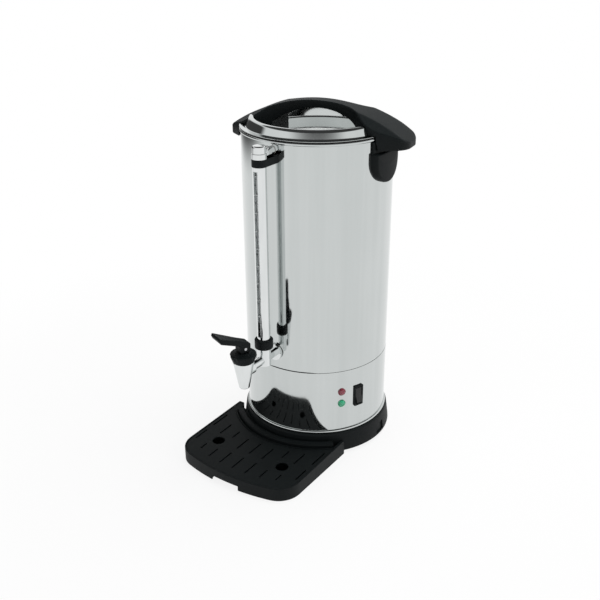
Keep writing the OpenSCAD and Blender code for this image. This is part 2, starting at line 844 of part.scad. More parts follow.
// The cap on the gauge, with the stub and its thinner thread that goes back through the tank's wall
module gauge_cap() {
    step_z = clamp_high_z + 7.4;
    color(steel) difference() {
        union() {
            at_gauge() rotate_extrude() polygon([
                [0, clamp_high_z], [cap_r - 0.4, clamp_high_z], [cap_r, clamp_high_z + 0.4],
                [cap_r, step_z - 0.4],
                [cap_r - 0.4, step_z], [cap_top_r, step_z + 0.2], [cap_top_r, gauge_top_z - 1.8],
                [cap_top_r - 0.6, gauge_top_z - 0.6], [cap_top_r - 2, gauge_top_z], [0, gauge_top_z]
            ]);
            outwards(stub_z) post(stub_r, stub_face_y, gauge_y);
            outwards(stub_z) post(stub_thread_r, tank_r - 12, gauge_y);
            outwards(stub_z) post(stub_collar_r, tank_r + 9, gauge_y - shield_r - 0.5);
        }
        at_gauge() post(glass_r + 0.3, clamp_high_z - 1, glass_high_z + 3.5);
        outwards(stub_z) post(stub_bore_r, tank_r - 13, gauge_y);
    }
}

module stub_seal() {
    color([0.75, 0.75, 0.72]) difference() {
        outwards(stub_z) pipe(6, stub_thread_r + gap, tank_r - 3.6, stub_face_y - gap);
        pipe(tank_r + gap, tank_in_r - gap, 400, 500);
    }
}

module stub_nut() {
    color(steel) outwards(stub_z) nut(12.5, stub_thread_r + gap, tank_r - 8, tank_r - 3.7);
}

strap_r = 10.4;
strap_half = 10.2;
strap_in_half = 8.9;
strap_foot = 6;

// A strap round the front of the shield, with straight sides back to a foot on the tank
module gauge_clamp() {
    color(black) difference() {
        union() {
            at_gauge() post(strap_r, clamp_low_z, clamp_high_z - gap);
            block([-strap_half, -gauge_y, clamp_low_z], [strap_half, -tank_r + 3, clamp_high_z - gap]);
        }
        at_gauge() post(shield_r + gap, clamp_low_z - 1, clamp_high_z + 1);
        block(
            [-strap_in_half, -gauge_y, clamp_low_z - 1],
            [strap_in_half, -tank_r - strap_foot, clamp_high_z + 1]
        );
        post(tank_r + gap, clamp_low_z - 1, clamp_high_z + 1);
        outwards(clamp_z) post(1.55, 100, tank_r + strap_foot - 0.5);
    }
}

module clamp_screw() {
    color(dull_steel) outwards(clamp_z) {
        post(1.5, tank_in_r - 0.3, tank_r + strap_foot - 1);
        post(3.4, tank_in_r - 2.6, tank_in_r - 0.2);
    }
}

// ---- Side brackets ----

bracket_face = 119;
bracket_half_w = 28.5;
bracket_arc_z = 449;
bracket_top_z = 462.6;
bracket_plate_r = 112.9;
bracket_plate_z = 478.4;

// The outline of a bracket: straight sides over a half circle
module bracket_outline(w) {
    translate([0, bracket_arc_z]) circle(w);
    translate([-w, bracket_arc_z]) square([2 * w, bracket_top_z - bracket_arc_z]);
}

// A bracket on the tank's side, with a wide root, a slightly smaller face, and a thin back plate
// that stands up between the tank and the handle's skirt
module lock_bracket() {
    plate_half_w = bracket_half_w + 1;
    difference() {
        union() {
            intersection() {
                union() {
                    for (rim = [[2.5, 1.4], [1, 0.6], [0, -0.6]]) rotate([90, 0, 0])
                        linear_extrude(bracket_face - rim[0]) bracket_outline(bracket_half_w + rim[1]);
                }
                block([-40, -bracket_face - 1, 400], [40, -80, bracket_top_z]);
            }
            intersection() {
                post(bracket_plate_r, bracket_arc_z + 5, bracket_plate_z);
                block([-plate_half_w, -bracket_face, 440], [plate_half_w, -80, 490]);
            }
        }
        post(tank_r + gap, 400, 480);
        for (z = bracket_screw_z) outwards(z) post(2.02, 90, bracket_face - 3);
    }
}

module lock_bracket_right() {
    color(black) facing(90) lock_bracket();
}

module lock_bracket_left() {
    color(black) facing(-90) lock_bracket();
}

module bracket_screws() {
    color(dull_steel) for (az = [-90, 90], z = bracket_screw_z) facing(az) outwards(z) {
        post(2, tank_in_r - 0.3, bracket_face - 4);
        post(4, tank_in_r - 3, tank_in_r - 0.2);
    }
}

// ---- Lid ----

seal_low_z = rim_top_z + 0.1;
lip_low_z = 480.2;
lid_low_z = 485;
lid_sheet = 0.9;
lid_floor_z = 478.3;
lid_flange_z = lid_low_z + lid_sheet;
lid_clear = 0.1;

// The lid's upper side from its middle outwards: sunk floor, raised shoulder and flange
lid_path = [
    [0, lid_floor_z], [82, lid_floor_z], [84.8, lid_floor_z + 0.8], [86.4, lid_floor_z + 3], [89.2, 494.4],
    [90.2, 496.8], [91.8, 497.8], [93.8, 498], [96, 497.4], [98, 495.9], [99.4, 493.6], [102.2, 487.8],
    [103.4, lid_flange_z + 0.5], [105.2, lid_flange_z], [lid_r, lid_flange_z]
];

// The ring between rim and lid, with a lip that centres it in the tank's mouth
module lid_seal() {
    lip_r = tank_r - 0.3 - bead_r - loose;
    color(rubber) rotate_extrude() polygon([
        [lip_r - 1.8, lip_low_z], [lip_r, lip_low_z], [lip_r, seal_low_z], [lid_r - 0.4, seal_low_z],
        [lid_r - 0.4, lid_low_z], [lip_r - 1.8, lid_low_z]
    ]);
}

module lid() {
    color(steel) difference() {
        rotate_extrude() sheet(lid_path, lid_sheet);
        at_handle() for (x = handle_screw_x) translate([x, 0, 0]) post(2.2, 470, 485);
    }
}

// Moves what is drawn about the handle's middle to its place on the lid
module at_handle() {
    facing(lid_turn) translate([handle_shift, 0, 0]) children();
}

// A foot's two sides differ a little, and the foot across from it is the same turned half round:
// these three lists give one side's value and then the other's
flare_w = [36.3, 36];
flare_mid = [66, 72];
end_slope = [0.56, 0.8];
flare_run = 9;
plan_blend = 2;
roof_half_w = 25;
roof_slope = 0.32;
handle_side = 75;
end_round = 26;
end_corner_w = 8;
end_in = 100;
handle_screw_x = [-72, 72];
arch_centre_z = arch_top_z - arch_r;
grip_top_z = 510.5;
grip_centre_z = grip_top_z - grip_r;
end_low_z = 466.2;
end_near = arch_half - end_round;
end_lean = [for (slope = end_slope) atan(slope)];
end_touch = [for (lean = end_lean) end_near + end_round * sin(lean)];

// The handle's width from its middle line to one side or the other (0 or 1), at a distance s from
// its middle: the grip flares out to the foot, and the foot tapers in a straight line to the rounded
// end. The two meet in a soft bend
function arch_half_w(s, side) = let (
    flared = grip_half_w + flare_w[side] / (1 + exp((flare_mid[side] - s) / flare_run)),
    end_w = end_corner_w + end_round * cos(end_lean[side]),
    tapered = end_w + end_slope[side] * (end_touch[side] - s)
) -plan_blend * ln(exp(-flared / plan_blend) + exp(-tapered / plan_blend));

// The handle's side view below its top, symmetric about its middle: the skirts of the two ends,
// the feet in the lid's recess and the opening under the grip
module arch_profile() {
    foot_z = lid_floor_z + gap;
    grip_angle = asin(grip_half / grip_r);
    polygon(concat(
        [[-arch_half, arch_top_z + 20], [arch_half, arch_top_z + 20]],
        [[arch_half, end_low_z], [end_in, end_low_z], [end_in, foot_z], [grip_half, foot_z]],
        arc([0, grip_centre_z], grip_r, 90 - grip_angle, 90 + grip_angle, 24),
        [[-grip_half, foot_z], [-end_in, foot_z], [-end_in, end_low_z], [-arch_half, end_low_z]]
    ));
}

// Everything under the handle's arched top, which is level across its middle and falls to both sides
module arch_roof() {
    fall = roof_slope * (handle_side - roof_half_w);
    translate([0, 0, arch_centre_z]) rotate([90, 0, 0]) rotate_extrude() polygon([
        [0, -handle_side], [arch_r - fall, -handle_side], [arch_r, -roof_half_w],
        [arch_r, roof_half_w], [arch_r - fall, handle_side], [0, handle_side]
    ]);
}

// The handle's outline from above, with its flared feet and rounded ends: one end, and the same
// turned half round
module arch_plan() {
    steps = 24;
    end = concat(
        [for (i = [1:steps]) let (s = end_touch[0] * i / steps) [s, -arch_half_w(s, 0)]],
        arc([end_near, -end_corner_w], end_round, end_lean[0] - 84, 0, 12),
        arc([end_near, end_corner_w], end_round, 0, 84 - end_lean[1], 12),
        [for (i = [steps:-1:0]) let (s = end_touch[1] * i / steps) [s, arch_half_w(s, 1)]]
    );
    polygon(concat(end, [for (p = end) -p]));
}

// The arch with its ends over the shoulder, the flange and the rim
module lid_handle() {
    over_lid = shifted(lid_path, -lid_clear);
    color(black) difference() {
        at_handle() intersection() {
            translate([0, handle_side, 0]) rotate([90, 0, 0]) linear_extrude(2 * handle_side) arch_profile();
            linear_extrude(600) arch_plan();
            arch_roof();
        }
        rotate_extrude() polygon(concat(
            [[0, 400], [lid_r + 2, 400], [lid_r + 2, lid_flange_z + lid_clear]],
            [for (i = [len(over_lid) - 1:-1:0]) over_lid[i]]
        ));
        at_handle() for (x = handle_screw_x) translate([x, 0, 0]) post(1.55, 470, lid_floor_z + 13);
    }
}

module lid_handle_screws() {
    color(dull_steel) at_handle() for (x = handle_screw_x)
        translate([x, 0, 0]) screw(1.5, 3.6, 2.2, lid_floor_z - 0.95, lid_floor_z + 12);
}

// ---- Drip tray ----

tray_wall = 2.4;
tray_floor_z = 2;
tray_back = 68;
collar_gap = 1.5;
tray_side_in = collar_r * sin(collar_half_angle) + 1;
grid_t = 2.4;
notch_half_w = 24;
notch_h = 7.5;
notch_depth = 10;

// The tray's outline from above, drawn in by m: straight sides, round corners that run into the
// curved front, and a back that clears the foot ring and its collar
module tray_outline(m) {
    corner_x = tray_half_w - tray_corner_r;
    reach = tray_front_r - tray_corner_r;
    front_y = tray_front_r - tray_front;
    corner_y = front_y - sqrt(reach * reach - corner_x * corner_x);
    turn = acos(corner_x / reach);
    difference() {
        polygon(concat(
            [[tray_x - tray_half_w + m, -tray_back - m]],
            arc([tray_x - corner_x, corner_y], tray_corner_r - m, 180, 180 + turn, 10),
            arc([tray_x, front_y], tray_front_r - m, 180 + turn, 360 - turn, 16),
            arc([tray_x + corner_x, corner_y], tray_corner_r - m, 360 - turn, 360, 10),
            [[tray_x + tray_half_w - m, -tray_back - m]]
        ));
        circle(base_r + 1.5 + m);
        intersection() {
            circle(collar_r + collar_gap + m);
            translate([-tray_side_in - m, -200]) square([2 * (tray_side_in + m), 200]);
        }
    }
}

// What lies below the tray's sloping top, lowered by d
module under_slope(d) {
    translate([0, -100, tray_back_z - d]) rotate([tray_slope, 0, 0])
        block([-150, -200, -60], [150, 100, 0]);
}

// The tray: a wall all round, a floor, a ledge for the grid and a finger notch in front
module drip_tray() {
    color(black) difference() {
        intersection() {
            linear_extrude(40) tray_outline(0);
            under_slope(0);
        }
        difference() {
            translate([0, 0, tray_floor_z + 2]) linear_extrude(40) tray_outline(tray_wall);
            block([tray_x - notch_half_w - 2, -tray_front - 5, 0],
                [tray_x + notch_half_w + 2, -tray_front + notch_depth + 3, notch_h + 2]);
        }
        translate([0, 0, -1]) linear_extrude(tray_floor_z + 1) tray_outline(tray_wall);
        block([tray_x - notch_half_w, -tray_front - 5, -1],
            [tray_x + notch_half_w, -tray_front + notch_depth, notch_h]);
    }
}

slot_pitch = 23.5;
finger_hole_r = 9.5;
finger_hole = [60, -174];

// A slot of the grid, from y0 to y1, centred on x
module grid_slot(x, y0, y1) {
    translate([x - 1.1, y0, 0]) cube([2.2, y1 - y0, 60]);
}

// The slotted grid that lies in the tray
module drip_grid() {
    color(black) difference() {
        intersection() {
            linear_extrude(40) tray_outline(tray_wall + loose);
            difference() {
                under_slope(0.6);
                under_slope(0.6 + grid_t);
            }
        }
        for (s = [-1, 1])
            translate([tray_x + s * finger_hole[0], finger_hole[1], 0]) post(finger_hole_r, 0, 60);
        for (i = [-4:4]) {
            x = tray_x + i * slot_pitch;
            side = abs(i);
            if (side <= 1) {
                grid_slot(x, -216, -188);
                grid_slot(x, -175, -146);
            }
            if (side == 2) {
                grid_slot(x, -212, -192);
                grid_slot(x, -156, -138);
            }
            if (side == 3) {
                grid_slot(x, -204, -190);
                grid_slot(x, -158, -130);
            }
            if (side == 4) {
                grid_slot(x, -188, -162);
                grid_slot(x, -146, -112);
            }
        }
    }
}

placed() tank();
placed() tank_bottom();
placed() skirt();
placed() base_ring();
placed() base_plate();
placed() base_plate_screws();
placed() skirt_screws();
placed() feet();
placed() heater_plate();
placed() heating_element();
placed() heater_nuts();
placed() boil_thermostat();
placed() keep_warm_thermostat();
placed() thermal_cutout();
placed() thermostat_screws();
placed() terminal_block();
placed() wiring();
placed() power_inlet();
placed() inlet_screws();
placed() switch_housing();
placed() switch_terminals();
placed() rocker();
placed() red_lens();
placed() green_lens();
placed() lamp_bodies();
placed() lamp_rings();
placed() tap_shank();
placed() shank_seals();
placed() shank_nut();
placed() tap_body();
placed() valve_bonnet();
placed() valve_stem();
placed() seat_cup();
placed() valve_spring();
placed() lever_pin();
placed() tap_lever();
placed() gauge_cup();
placed() gauge_shield();
placed() gauge_glass();
placed() gauge_scale();
placed() gauge_seals();
placed() gauge_cap();
placed() stub_seal();
placed() stub_nut();
placed() gauge_clamp();
placed() clamp_screw();
placed() lock_bracket_right();
placed() lock_bracket_left();
placed() bracket_screws();
placed() lid_seal();
placed() lid();
placed() lid_handle();
placed() lid_handle_screws();
placed() drip_tray();
placed() drip_grid();
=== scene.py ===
import json
import math

import bmesh
import bpy
import numpy as np
from mathutils import Matrix, Vector


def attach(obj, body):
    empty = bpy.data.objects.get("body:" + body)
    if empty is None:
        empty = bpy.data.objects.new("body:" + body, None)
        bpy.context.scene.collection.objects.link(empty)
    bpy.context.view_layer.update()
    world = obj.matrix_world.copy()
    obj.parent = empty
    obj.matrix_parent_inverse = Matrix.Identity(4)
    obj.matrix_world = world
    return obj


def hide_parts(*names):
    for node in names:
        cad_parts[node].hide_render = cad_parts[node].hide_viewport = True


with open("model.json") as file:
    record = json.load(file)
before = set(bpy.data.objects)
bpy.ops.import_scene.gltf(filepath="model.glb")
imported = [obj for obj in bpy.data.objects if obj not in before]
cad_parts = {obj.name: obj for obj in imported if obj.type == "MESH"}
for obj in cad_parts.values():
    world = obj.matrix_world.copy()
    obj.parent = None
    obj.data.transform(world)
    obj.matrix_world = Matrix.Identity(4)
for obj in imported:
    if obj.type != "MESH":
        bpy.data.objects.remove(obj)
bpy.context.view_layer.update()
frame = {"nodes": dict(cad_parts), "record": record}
print("frame loaded")

mm = 0.001
axis = (-5.918, 58.5, 0)               # the foot of the tank's axis, in millimetres from the frame's origin


# ---- Shader maths ----

class Sock:
    # One output of a node. Arithmetic on it adds Math nodes to its tree
    def __init__(self, tree, out=None):
        self.tree = tree
        self.out = out

    def put(self, kind, settings=None, inputs=None, output=0):
        # Adds a node of any type: its settings first, then the values or links of its sockets
        node = self.tree.nodes.new(kind)
        for name, value in (settings or {}).items():
            setattr(node, name, value)
        for name, value in (inputs or {}).items():
            if isinstance(value, Sock):
                self.tree.links.new(value.out, node.inputs[name])
            else:
                node.inputs[name].default_value = value
        return Sock(self.tree, node.outputs[output])

    def maths(self, operation, a, b):
        return self.put("ShaderNodeMath", {"operation": operation}, {0: a, 1: b})

    def __add__(self, other):
        return self.maths("ADD", self, other)

    def __radd__(self, other):
        return self.maths("ADD", other, self)

    def __sub__(self, other):
        return self.maths("SUBTRACT", self, other)

    def __rsub__(self, other):
        return self.maths("SUBTRACT", other, self)

    def __mul__(self, other):
        return self.maths("MULTIPLY", self, other)

    def __rmul__(self, other):
        return self.maths("MULTIPLY", other, self)

    def between(self, low, high):
        # 0 below low, 1 above high, smooth in between
        return self.put("ShaderNodeMapRange", {"interpolation_type": "SMOOTHSTEP"},
                        {"Value": self, "From Min": low, "From Max": high})

    def noise(self, scale, detail=2.0, stretch=(1, 1, 1)):
        # Noise on this vector, with the pattern's size divided by stretch on each axis
        place = self.put("ShaderNodeMapping", {"vector_type": "POINT"}, {"Vector": self, "Scale": stretch})
        return self.put("ShaderNodeTexNoise", {"noise_dimensions": "3D"},
                        {"Vector": place, "Scale": scale, "Detail": detail})

    def mix(self, first, second):
        # Colour first where this is 0, second where it is 1
        node = self.tree.nodes.new("ShaderNodeMix")
        node.data_type = "RGBA"
        self.tree.links.new(self.out, node.inputs[0])
        for index, value in ((6, first), (7, second)):
            if isinstance(value, Sock):
                self.tree.links.new(value.out, node.inputs[index])
            else:
                node.inputs[index].default_value = (*value, 1)
        return Sock(self.tree, node.outputs[2])


def newMaterial(name, constants):
    # A Principled material and its tree, with the values that are the same all over already set
    material = bpy.data.materials.new(name)
    material.use_nodes = True
    tree = material.node_tree
    shader = tree.nodes["Principled BSDF"]
    for socket, value in constants.items():
        shader.inputs[socket].default_value = value
    start = Sock(tree)
    place = start.put("ShaderNodeTexCoord", output=3)
    return material, shader, place


def feed(shader, **sockets):
    # Links sockets of the shader, named without their spaces
    names = {"baseColor": "Base Color", "roughness": "Roughness", "normal": "Normal"}
    for name, value in sockets.items():
        value.tree.links.new(value.out, shader.inputs[names[name]])


def bumped(height, strength, distance):
    return height.put("ShaderNodeBump", inputs={"Height": height, "Strength": strength, "Distance": distance})


# ---- Finishes ----

# Noise scales are per metre, depths are in metres, and low and high are where a pattern starts and is full
metalPattern = {
    "cloudScale": 9.0, "cloudShare": 0.3, "streakDetail": 3.0, "streakShare": 0.7, "low": 0.25, "high": 0.75,
    "scuffScale": 420.0, "scuffStretch": 0.25, "scuffLow": 0.68, "scuffHigh": 0.8, "depth": 0.0004,
}


def polishedMetal(name, look):
    # Polished sheet: long faint streaks along Z in its colour and gloss, and sparse fine scuffs
    material, shader, place = newMaterial(name, {"Metallic": 1.0})
    pattern = metalPattern
    streak = place.noise(look["streakScale"], pattern["streakDetail"], (1, 1, look["streakStretch"]))
    cloud = place.noise(pattern["cloudScale"])
    scuff = place.noise(pattern["scuffScale"], stretch=(1, 1, pattern["scuffStretch"]))
    scuff = scuff.between(pattern["scuffLow"], pattern["scuffHigh"])
    tone = streak * pattern["streakShare"] + cloud * pattern["cloudShare"]
    tone = tone.between(pattern["low"], pattern["high"])
    feed(shader,
         baseColor=tone.mix(look["dark"], look["light"]),
         roughness=look["roughness"] + tone * look["roughnessSpread"] + scuff * look["scuff"],
         normal=bumped(streak, look["bump"], pattern["depth"]))
    return material


plasticPattern = {
    "grainDetail": 1.0, "cloudScale": 38.0, "cloudDetail": 3.0, "cloudShare": 0.6,
    "rubbedScale": 110.0, "rubbedDetail": 4.0, "rubbedLow": 0.6, "rubbedHigh": 0.82, "rubbedShare": 0.4,
    "rubbedGloss": 0.06, "depth": 0.0002,
}


def mouldedPlastic(name, look):
    # Moulded plastic: fine pitted grain, cloudy gloss and paler rubbed patches
    material, shader, place = newMaterial(name, {"Specular IOR Level": look["specular"]})
    pattern = plasticPattern
    grain = place.noise(look["grainScale"], pattern["grainDetail"])
    cloud = place.noise(pattern["cloudScale"], pattern["cloudDetail"])
    rubbed = place.noise(pattern["rubbedScale"], pattern["rubbedDetail"])
    rubbed = rubbed.between(pattern["rubbedLow"], pattern["rubbedHigh"])
    tone = cloud * pattern["cloudShare"] + rubbed * pattern["rubbedShare"]
    gloss = rubbed * pattern["rubbedGloss"]
    feed(shader,
         baseColor=tone.mix(look["dark"], look["light"]),
         roughness=look["roughness"] + cloud * look["roughnessSpread"] - gloss,
         normal=bumped(grain, look["grain"], pattern["depth"]))
    return material


filmPattern = {
    "speckleDetail": 4.0, "speckleShare": 0.5,
    "dullScale": 60.0, "dullLow": 0.45, "dullHigh": 0.7, "dullShare": 0.5, "depth": 0.0002,
}


def castOrPlated(name, look):
    # Plain metal under a thin film: speckled colour with duller spots
    material, shader, place = newMaterial(name, {"Metallic": look["metallic"]})
    pattern = filmPattern
    speckle = place.noise(look["scale"], pattern["speckleDetail"])
    dull = place.noise(pattern["dullScale"]).between(pattern["dullLow"], pattern["dullHigh"])
    tone = speckle * pattern["speckleShare"] + dull * pattern["dullShare"]
    feed(shader,
         baseColor=tone.mix(look["dark"], look["light"]),
         roughness=look["roughness"] + dull * look["roughnessSpread"],
         normal=bumped(speckle, look["bump"], pattern["depth"]))
    return material


lensPattern = {
    "coat": 0.6, "coatRoughness": 0.05, "specular": 0.5,
    "facetScale": 900.0, "facetDetail": 1.0, "facet": 0.15, "depth": 0.0002,
    "cloudScale": 240.0, "low": 0.3, "high": 0.7, "roughness": 0.14, "roughnessSpread": 0.08,
}


def lensPlastic(name, look):
    # Coloured clear plastic with an uneven inside and a glossy coat
    pattern = lensPattern
    material, shader, place = newMaterial(name, {
        "Coat Weight": pattern["coat"], "Coat Roughness": pattern["coatRoughness"],
        "Specular IOR Level": pattern["specular"]})
    facet = place.noise(pattern["facetScale"], pattern["facetDetail"])
    cloud = place.noise(pattern["cloudScale"])
    tone = cloud.between(pattern["low"], pattern["high"])
    feed(shader,
         baseColor=tone.mix(look["dark"], look["light"]),
         roughness=pattern["roughness"] + cloud * pattern["roughnessSpread"],
         normal=bumped(facet, pattern["facet"], pattern["depth"]))
    return material


glassPattern = {
    "ior": 1.47, "scale": 70.0, "detail": 3.0, "stretch": 0.2, "low": 0.3, "high": 0.7,
    "roughnessSpread": 0.08,
}


def sightGlass(name, look):
    # Glass with a thin milky film of scale on its inside, thicker in patches along its height
    pattern = glassPattern
    material, shader, place = newMaterial(name, {"Transmission Weight": look["clear"], "IOR": pattern["ior"]})
    film = place.noise(pattern["scale"], pattern["detail"], (1, 1, pattern["stretch"]))
    tone = film.between(pattern["low"], pattern["high"])
    feed(shader,
         baseColor=tone.mix(look["dark"], look["light"]),
         roughness=look["roughness"] + film * pattern["roughnessSpread"])
    return material


finishes = {
    "polished_steel": polishedMetal("PolishedSteel", {
        "dark": (0.535, 0.562, 0.557), "light": (0.585, 0.61, 0.606),
        "roughness": 0.05, "roughnessSpread": 0.04,
        "scuff": 0.05, "streakScale": 60.0, "streakStretch": 0.03, "bump": 0.02}),
    "chrome": polishedMetal("BrightChrome", {
        "dark": (0.68, 0.7, 0.7), "light": (0.74, 0.76, 0.76), "roughness": 0.03, "roughnessSpread": 0.03,
        "scuff": 0.03, "streakScale": 120.0, "streakStretch": 0.2, "bump": 0.01}),
    "black_plastic": mouldedPlastic("BlackPlastic", {
        "dark": (0.0045, 0.006, 0.0064), "light": (0.009, 0.012, 0.0126),
        "roughness": 0.48, "roughnessSpread": 0.1,
        "specular": 0.12, "grainScale": 2600.0, "grain": 0.25}),
    "gloss_black": mouldedPlastic("GlossBlack", {
        "dark": (0.008, 0.009, 0.009), "light": (0.014, 0.015, 0.015),
        "roughness": 0.16, "roughnessSpread": 0.06,
        "specular": 0.4, "grainScale": 1500.0, "grain": 0.05}),
    "rubber": mouldedPlastic("Rubber", {
        "dark": (0.016, 0.016, 0.016), "light": (0.03, 0.03, 0.03), "roughness": 0.7, "roughnessSpread": 0.1,
        "specular": 0.15, "grainScale": 1800.0, "grain": 0.3}),
    "silicone": mouldedPlastic("Silicone", {
        "dark": (0.5, 0.49, 0.45), "light": (0.62, 0.6, 0.56), "roughness": 0.45, "roughnessSpread": 0.1,
        "specular": 0.4, "grainScale": 900.0, "grain": 0.1}),
    "red_silicone": mouldedPlastic("RedSilicone", {
        "dark": (0.36, 0.07, 0.04), "light": (0.48, 0.11, 0.06), "roughness": 0.5, "roughnessSpread": 0.1,
        "specular": 0.4, "grainScale": 900.0, "grain": 0.1}),
    "glass": sightGlass("GaugeGlass", {
        "clear": 0.03, "dark": (0.74, 0.78, 0.78), "light": (0.86, 0.9, 0.9), "roughness": 0.32}),
    "marks": mouldedPlastic("PrintedMarks", {
        "dark": (0.62, 0.65, 0.65), "light": (0.72, 0.75, 0.75), "roughness": 0.3, "roughnessSpread": 0.05,
        "specular": 0.4, "grainScale": 800.0, "grain": 0.05}),
    "aluminium": castOrPlated("CastAluminium", {
        "dark": (0.5, 0.51, 0.52), "light": (0.66, 0.67, 0.68), "metallic": 1.0, "roughness": 0.35,
        "roughnessSpread": 0.2, "scale": 500.0, "bump": 0.3}),
    "element_sheath": castOrPlated("ElementSheath", {
        "dark": (0.2, 0.16, 0.13), "light": (0.34, 0.29, 0.25), "metallic": 1.0, "roughness": 0.35,
        "roughnessSpread": 0.2, "scale": 300.0, "bump": 0.2}),
    "zinc_steel": castOrPlated("ZincSteel", {
        "dark": (0.46, 0.47, 0.48), "light": (0.62, 0.63, 0.64), "metallic": 1.0, "roughness": 0.25,
        "roughnessSpread": 0.15, "scale": 260.0, "bump": 0.15}),
    "brass": castOrPlated("Brass", {
        "dark": (0.55, 0.4, 0.17), "light": (0.72, 0.56, 0.28), "metallic": 1.0, "roughness": 0.25,
        "roughnessSpread": 0.1, "scale": 300.0, "bump": 0.1}),
    "ceramic": castOrPlated("Ceramic", {
        "dark": (0.6, 0.57, 0.5), "light": (0.7, 0.67, 0.6), "metallic": 0.0, "roughness": 0.5,
        "roughnessSpread": 0.1, "scale": 700.0, "bump": 0.2}),
    "brown_plastic": mouldedPlastic("BrownPlastic", {
        "dark": (0.1, 0.05, 0.03), "light": (0.17, 0.09, 0.06), "roughness": 0.3, "roughnessSpread": 0.1,
        "specular": 0.4, "grainScale": 1200.0, "grain": 0.1}),
    "white_plastic": mouldedPlastic("WhitePlastic", {
        "dark": (0.68, 0.67, 0.62), "light": (0.76, 0.75, 0.7), "roughness": 0.4, "roughnessSpread": 0.1,
        "specular": 0.4, "grainScale": 1200.0, "grain": 0.1}),
    "wire": mouldedPlastic("WireSleeve", {
        "dark": (0.4, 0.06, 0.04), "light": (0.5, 0.1, 0.07), "roughness": 0.5, "roughnessSpread": 0.1,
        "specular": 0.3, "grainScale": 900.0, "grain": 0.1}),
    "red_lens": lensPlastic("RedLens", {"dark": (0.19, 0.012, 0.03), "light": (0.3, 0.02, 0.05)}),
    "green_lens": lensPlastic("GreenLens", {"dark": (0.012, 0.34, 0.15), "light": (0.03, 0.5, 0.25)}),
}

slotOfNode = {part["node"]: part["material_slot"] for part in frame["record"]["subparts"]}
for nodeName, node in frame["nodes"].items():
    for slotIndex in range(len(node.material_slots)):
        node.material_slots[slotIndex].material = finishes[slotOfNode[nodeName]]
print("finishes made")


# ---- Surfaces ----

reachShare = 0.49                      # the most of a step that one corner's arc takes
longStep = 4                           # steps longer than this many edges get support points
weldDistance = 2e-6                    # metres
leastLength = 1e-6
flatAngle = 0.3                        # degrees between faces that are joined into one
bevelAngle = 30.0


def rounded(corners, radii, steps=6):
    # A polyline with each inner corner replaced by an arc: the arc's centre lies on the corner's
    # bisector, and its ends lie at radius / tan(half the corner's angle) from the corner
    corners = [np.array(corner, float) for corner in corners]
    path = [corners[0]]
    for before, corner, after, radius in zip(corners, corners[1:], corners[2:], radii):
        back = (before - corner) / np.linalg.norm(before - corner)
        ahead = (after - corner) / np.linalg.norm(after - corner)
        half = math.acos(np.clip(back @ ahead, -1, 1)) / 2
        reach = min(radius / math.tan(half), reachShare * np.linalg.norm(before - corner),
                    reachShare * np.linalg.norm(after - corner))
        size = reach * math.tan(half)
        middle = corner + (back + ahead) / np.linalg.norm(back + ahead) * size / math.sin(half)
        first = corner + back * reach - middle
        last = corner + ahead * reach - middle
        turn = math.acos(np.clip(first @ last / size ** 2, -1, 1))
        for share in np.linspace(0, 1, steps + 1):
            weights = math.sin((1 - share) * turn), math.sin(share * turn)
            path.append(middle + (first * weights[0] + last * weights[1]) / math.sin(turn))
    path.append(corners[-1])
    return np.array(path)


def supported(path, edge=0.3):
    # The same line with extra points near both ends of each long step, so that the shading stays flat there
    full = [path[0]]
    for start, end in zip(path, path[1:]):
        length = np.linalg.norm(end - start)
        if length > longStep * edge:
            full.append(start + (end - start) * edge / length)
            full.append(end - (end - start) * edge / length)
        full.append(end)
    return np.array(full)


def arcPoints(centre, radius, start, end, steps):
    # Points of a circular arc between two angles in degrees
    angle = np.radians(np.linspace(start, end, steps + 1))
    return np.stack([centre[0] + radius * np.cos(angle), centre[1] + radius * np.sin(angle)], 1)


def turned(profile, azimuths):
    # A profile of radius and height carried round the tank's axis: x = r sin(azimuth), y = -r cos(azimuth)
    angle = np.radians(azimuths)[:, None]
    radius = profile[None, :, 0]
    height = np.broadcast_to(profile[None, :, 1], (len(azimuths), len(profile)))
    return np.stack([radius * np.sin(angle), -radius * np.cos(angle), height], 2)


def fullTurn(count):
    return np.linspace(0, 360, count + 1)[:-1]


def facing(points, azimuth):
    # Turns points built at the front to another direction round the tank
    angle = math.radians(azimuth)
    x, y, z = points[..., 0], points[..., 1], points[..., 2]
    across = x * math.cos(angle) - y * math.sin(angle)
    along = x * math.sin(angle) + y * math.cos(angle)
    return np.stack([across, along, z], -1)


def bowed(profile, start, end, steps):
    # A closed profile carried round part of a turn, with its two ends closed by fans from their middles
    azimuths = np.linspace(start, end, steps)
    body = turned(profile, azimuths)
    ends = []
    for row in (body[0], body[-1]):
        middle = np.repeat(row.mean(0)[None], len(row), 0)
        ends.append((np.stack([row, middle], 0), False, False))
    return [(body, False, False)] + ends


def moved(points, x, y, z):
    return points + np.array([x, y, z], float)


def quadsOf(rows, columns, closedRows, closedColumns):
    # Index of the four corners of every cell of a grid, with the last row or column joined to the first
    row = np.arange(rows if closedRows else rows - 1)[:, None]
    column = np.arange(columns if closedColumns else columns - 1)[None, :]
    nextRow = (row + 1) % rows
    nextColumn = (column + 1) % columns
    return np.stack([row * columns + column, nextRow * columns + column,
                     nextRow * columns + nextColumn, row * columns + nextColumn], -1).reshape(-1, 4)


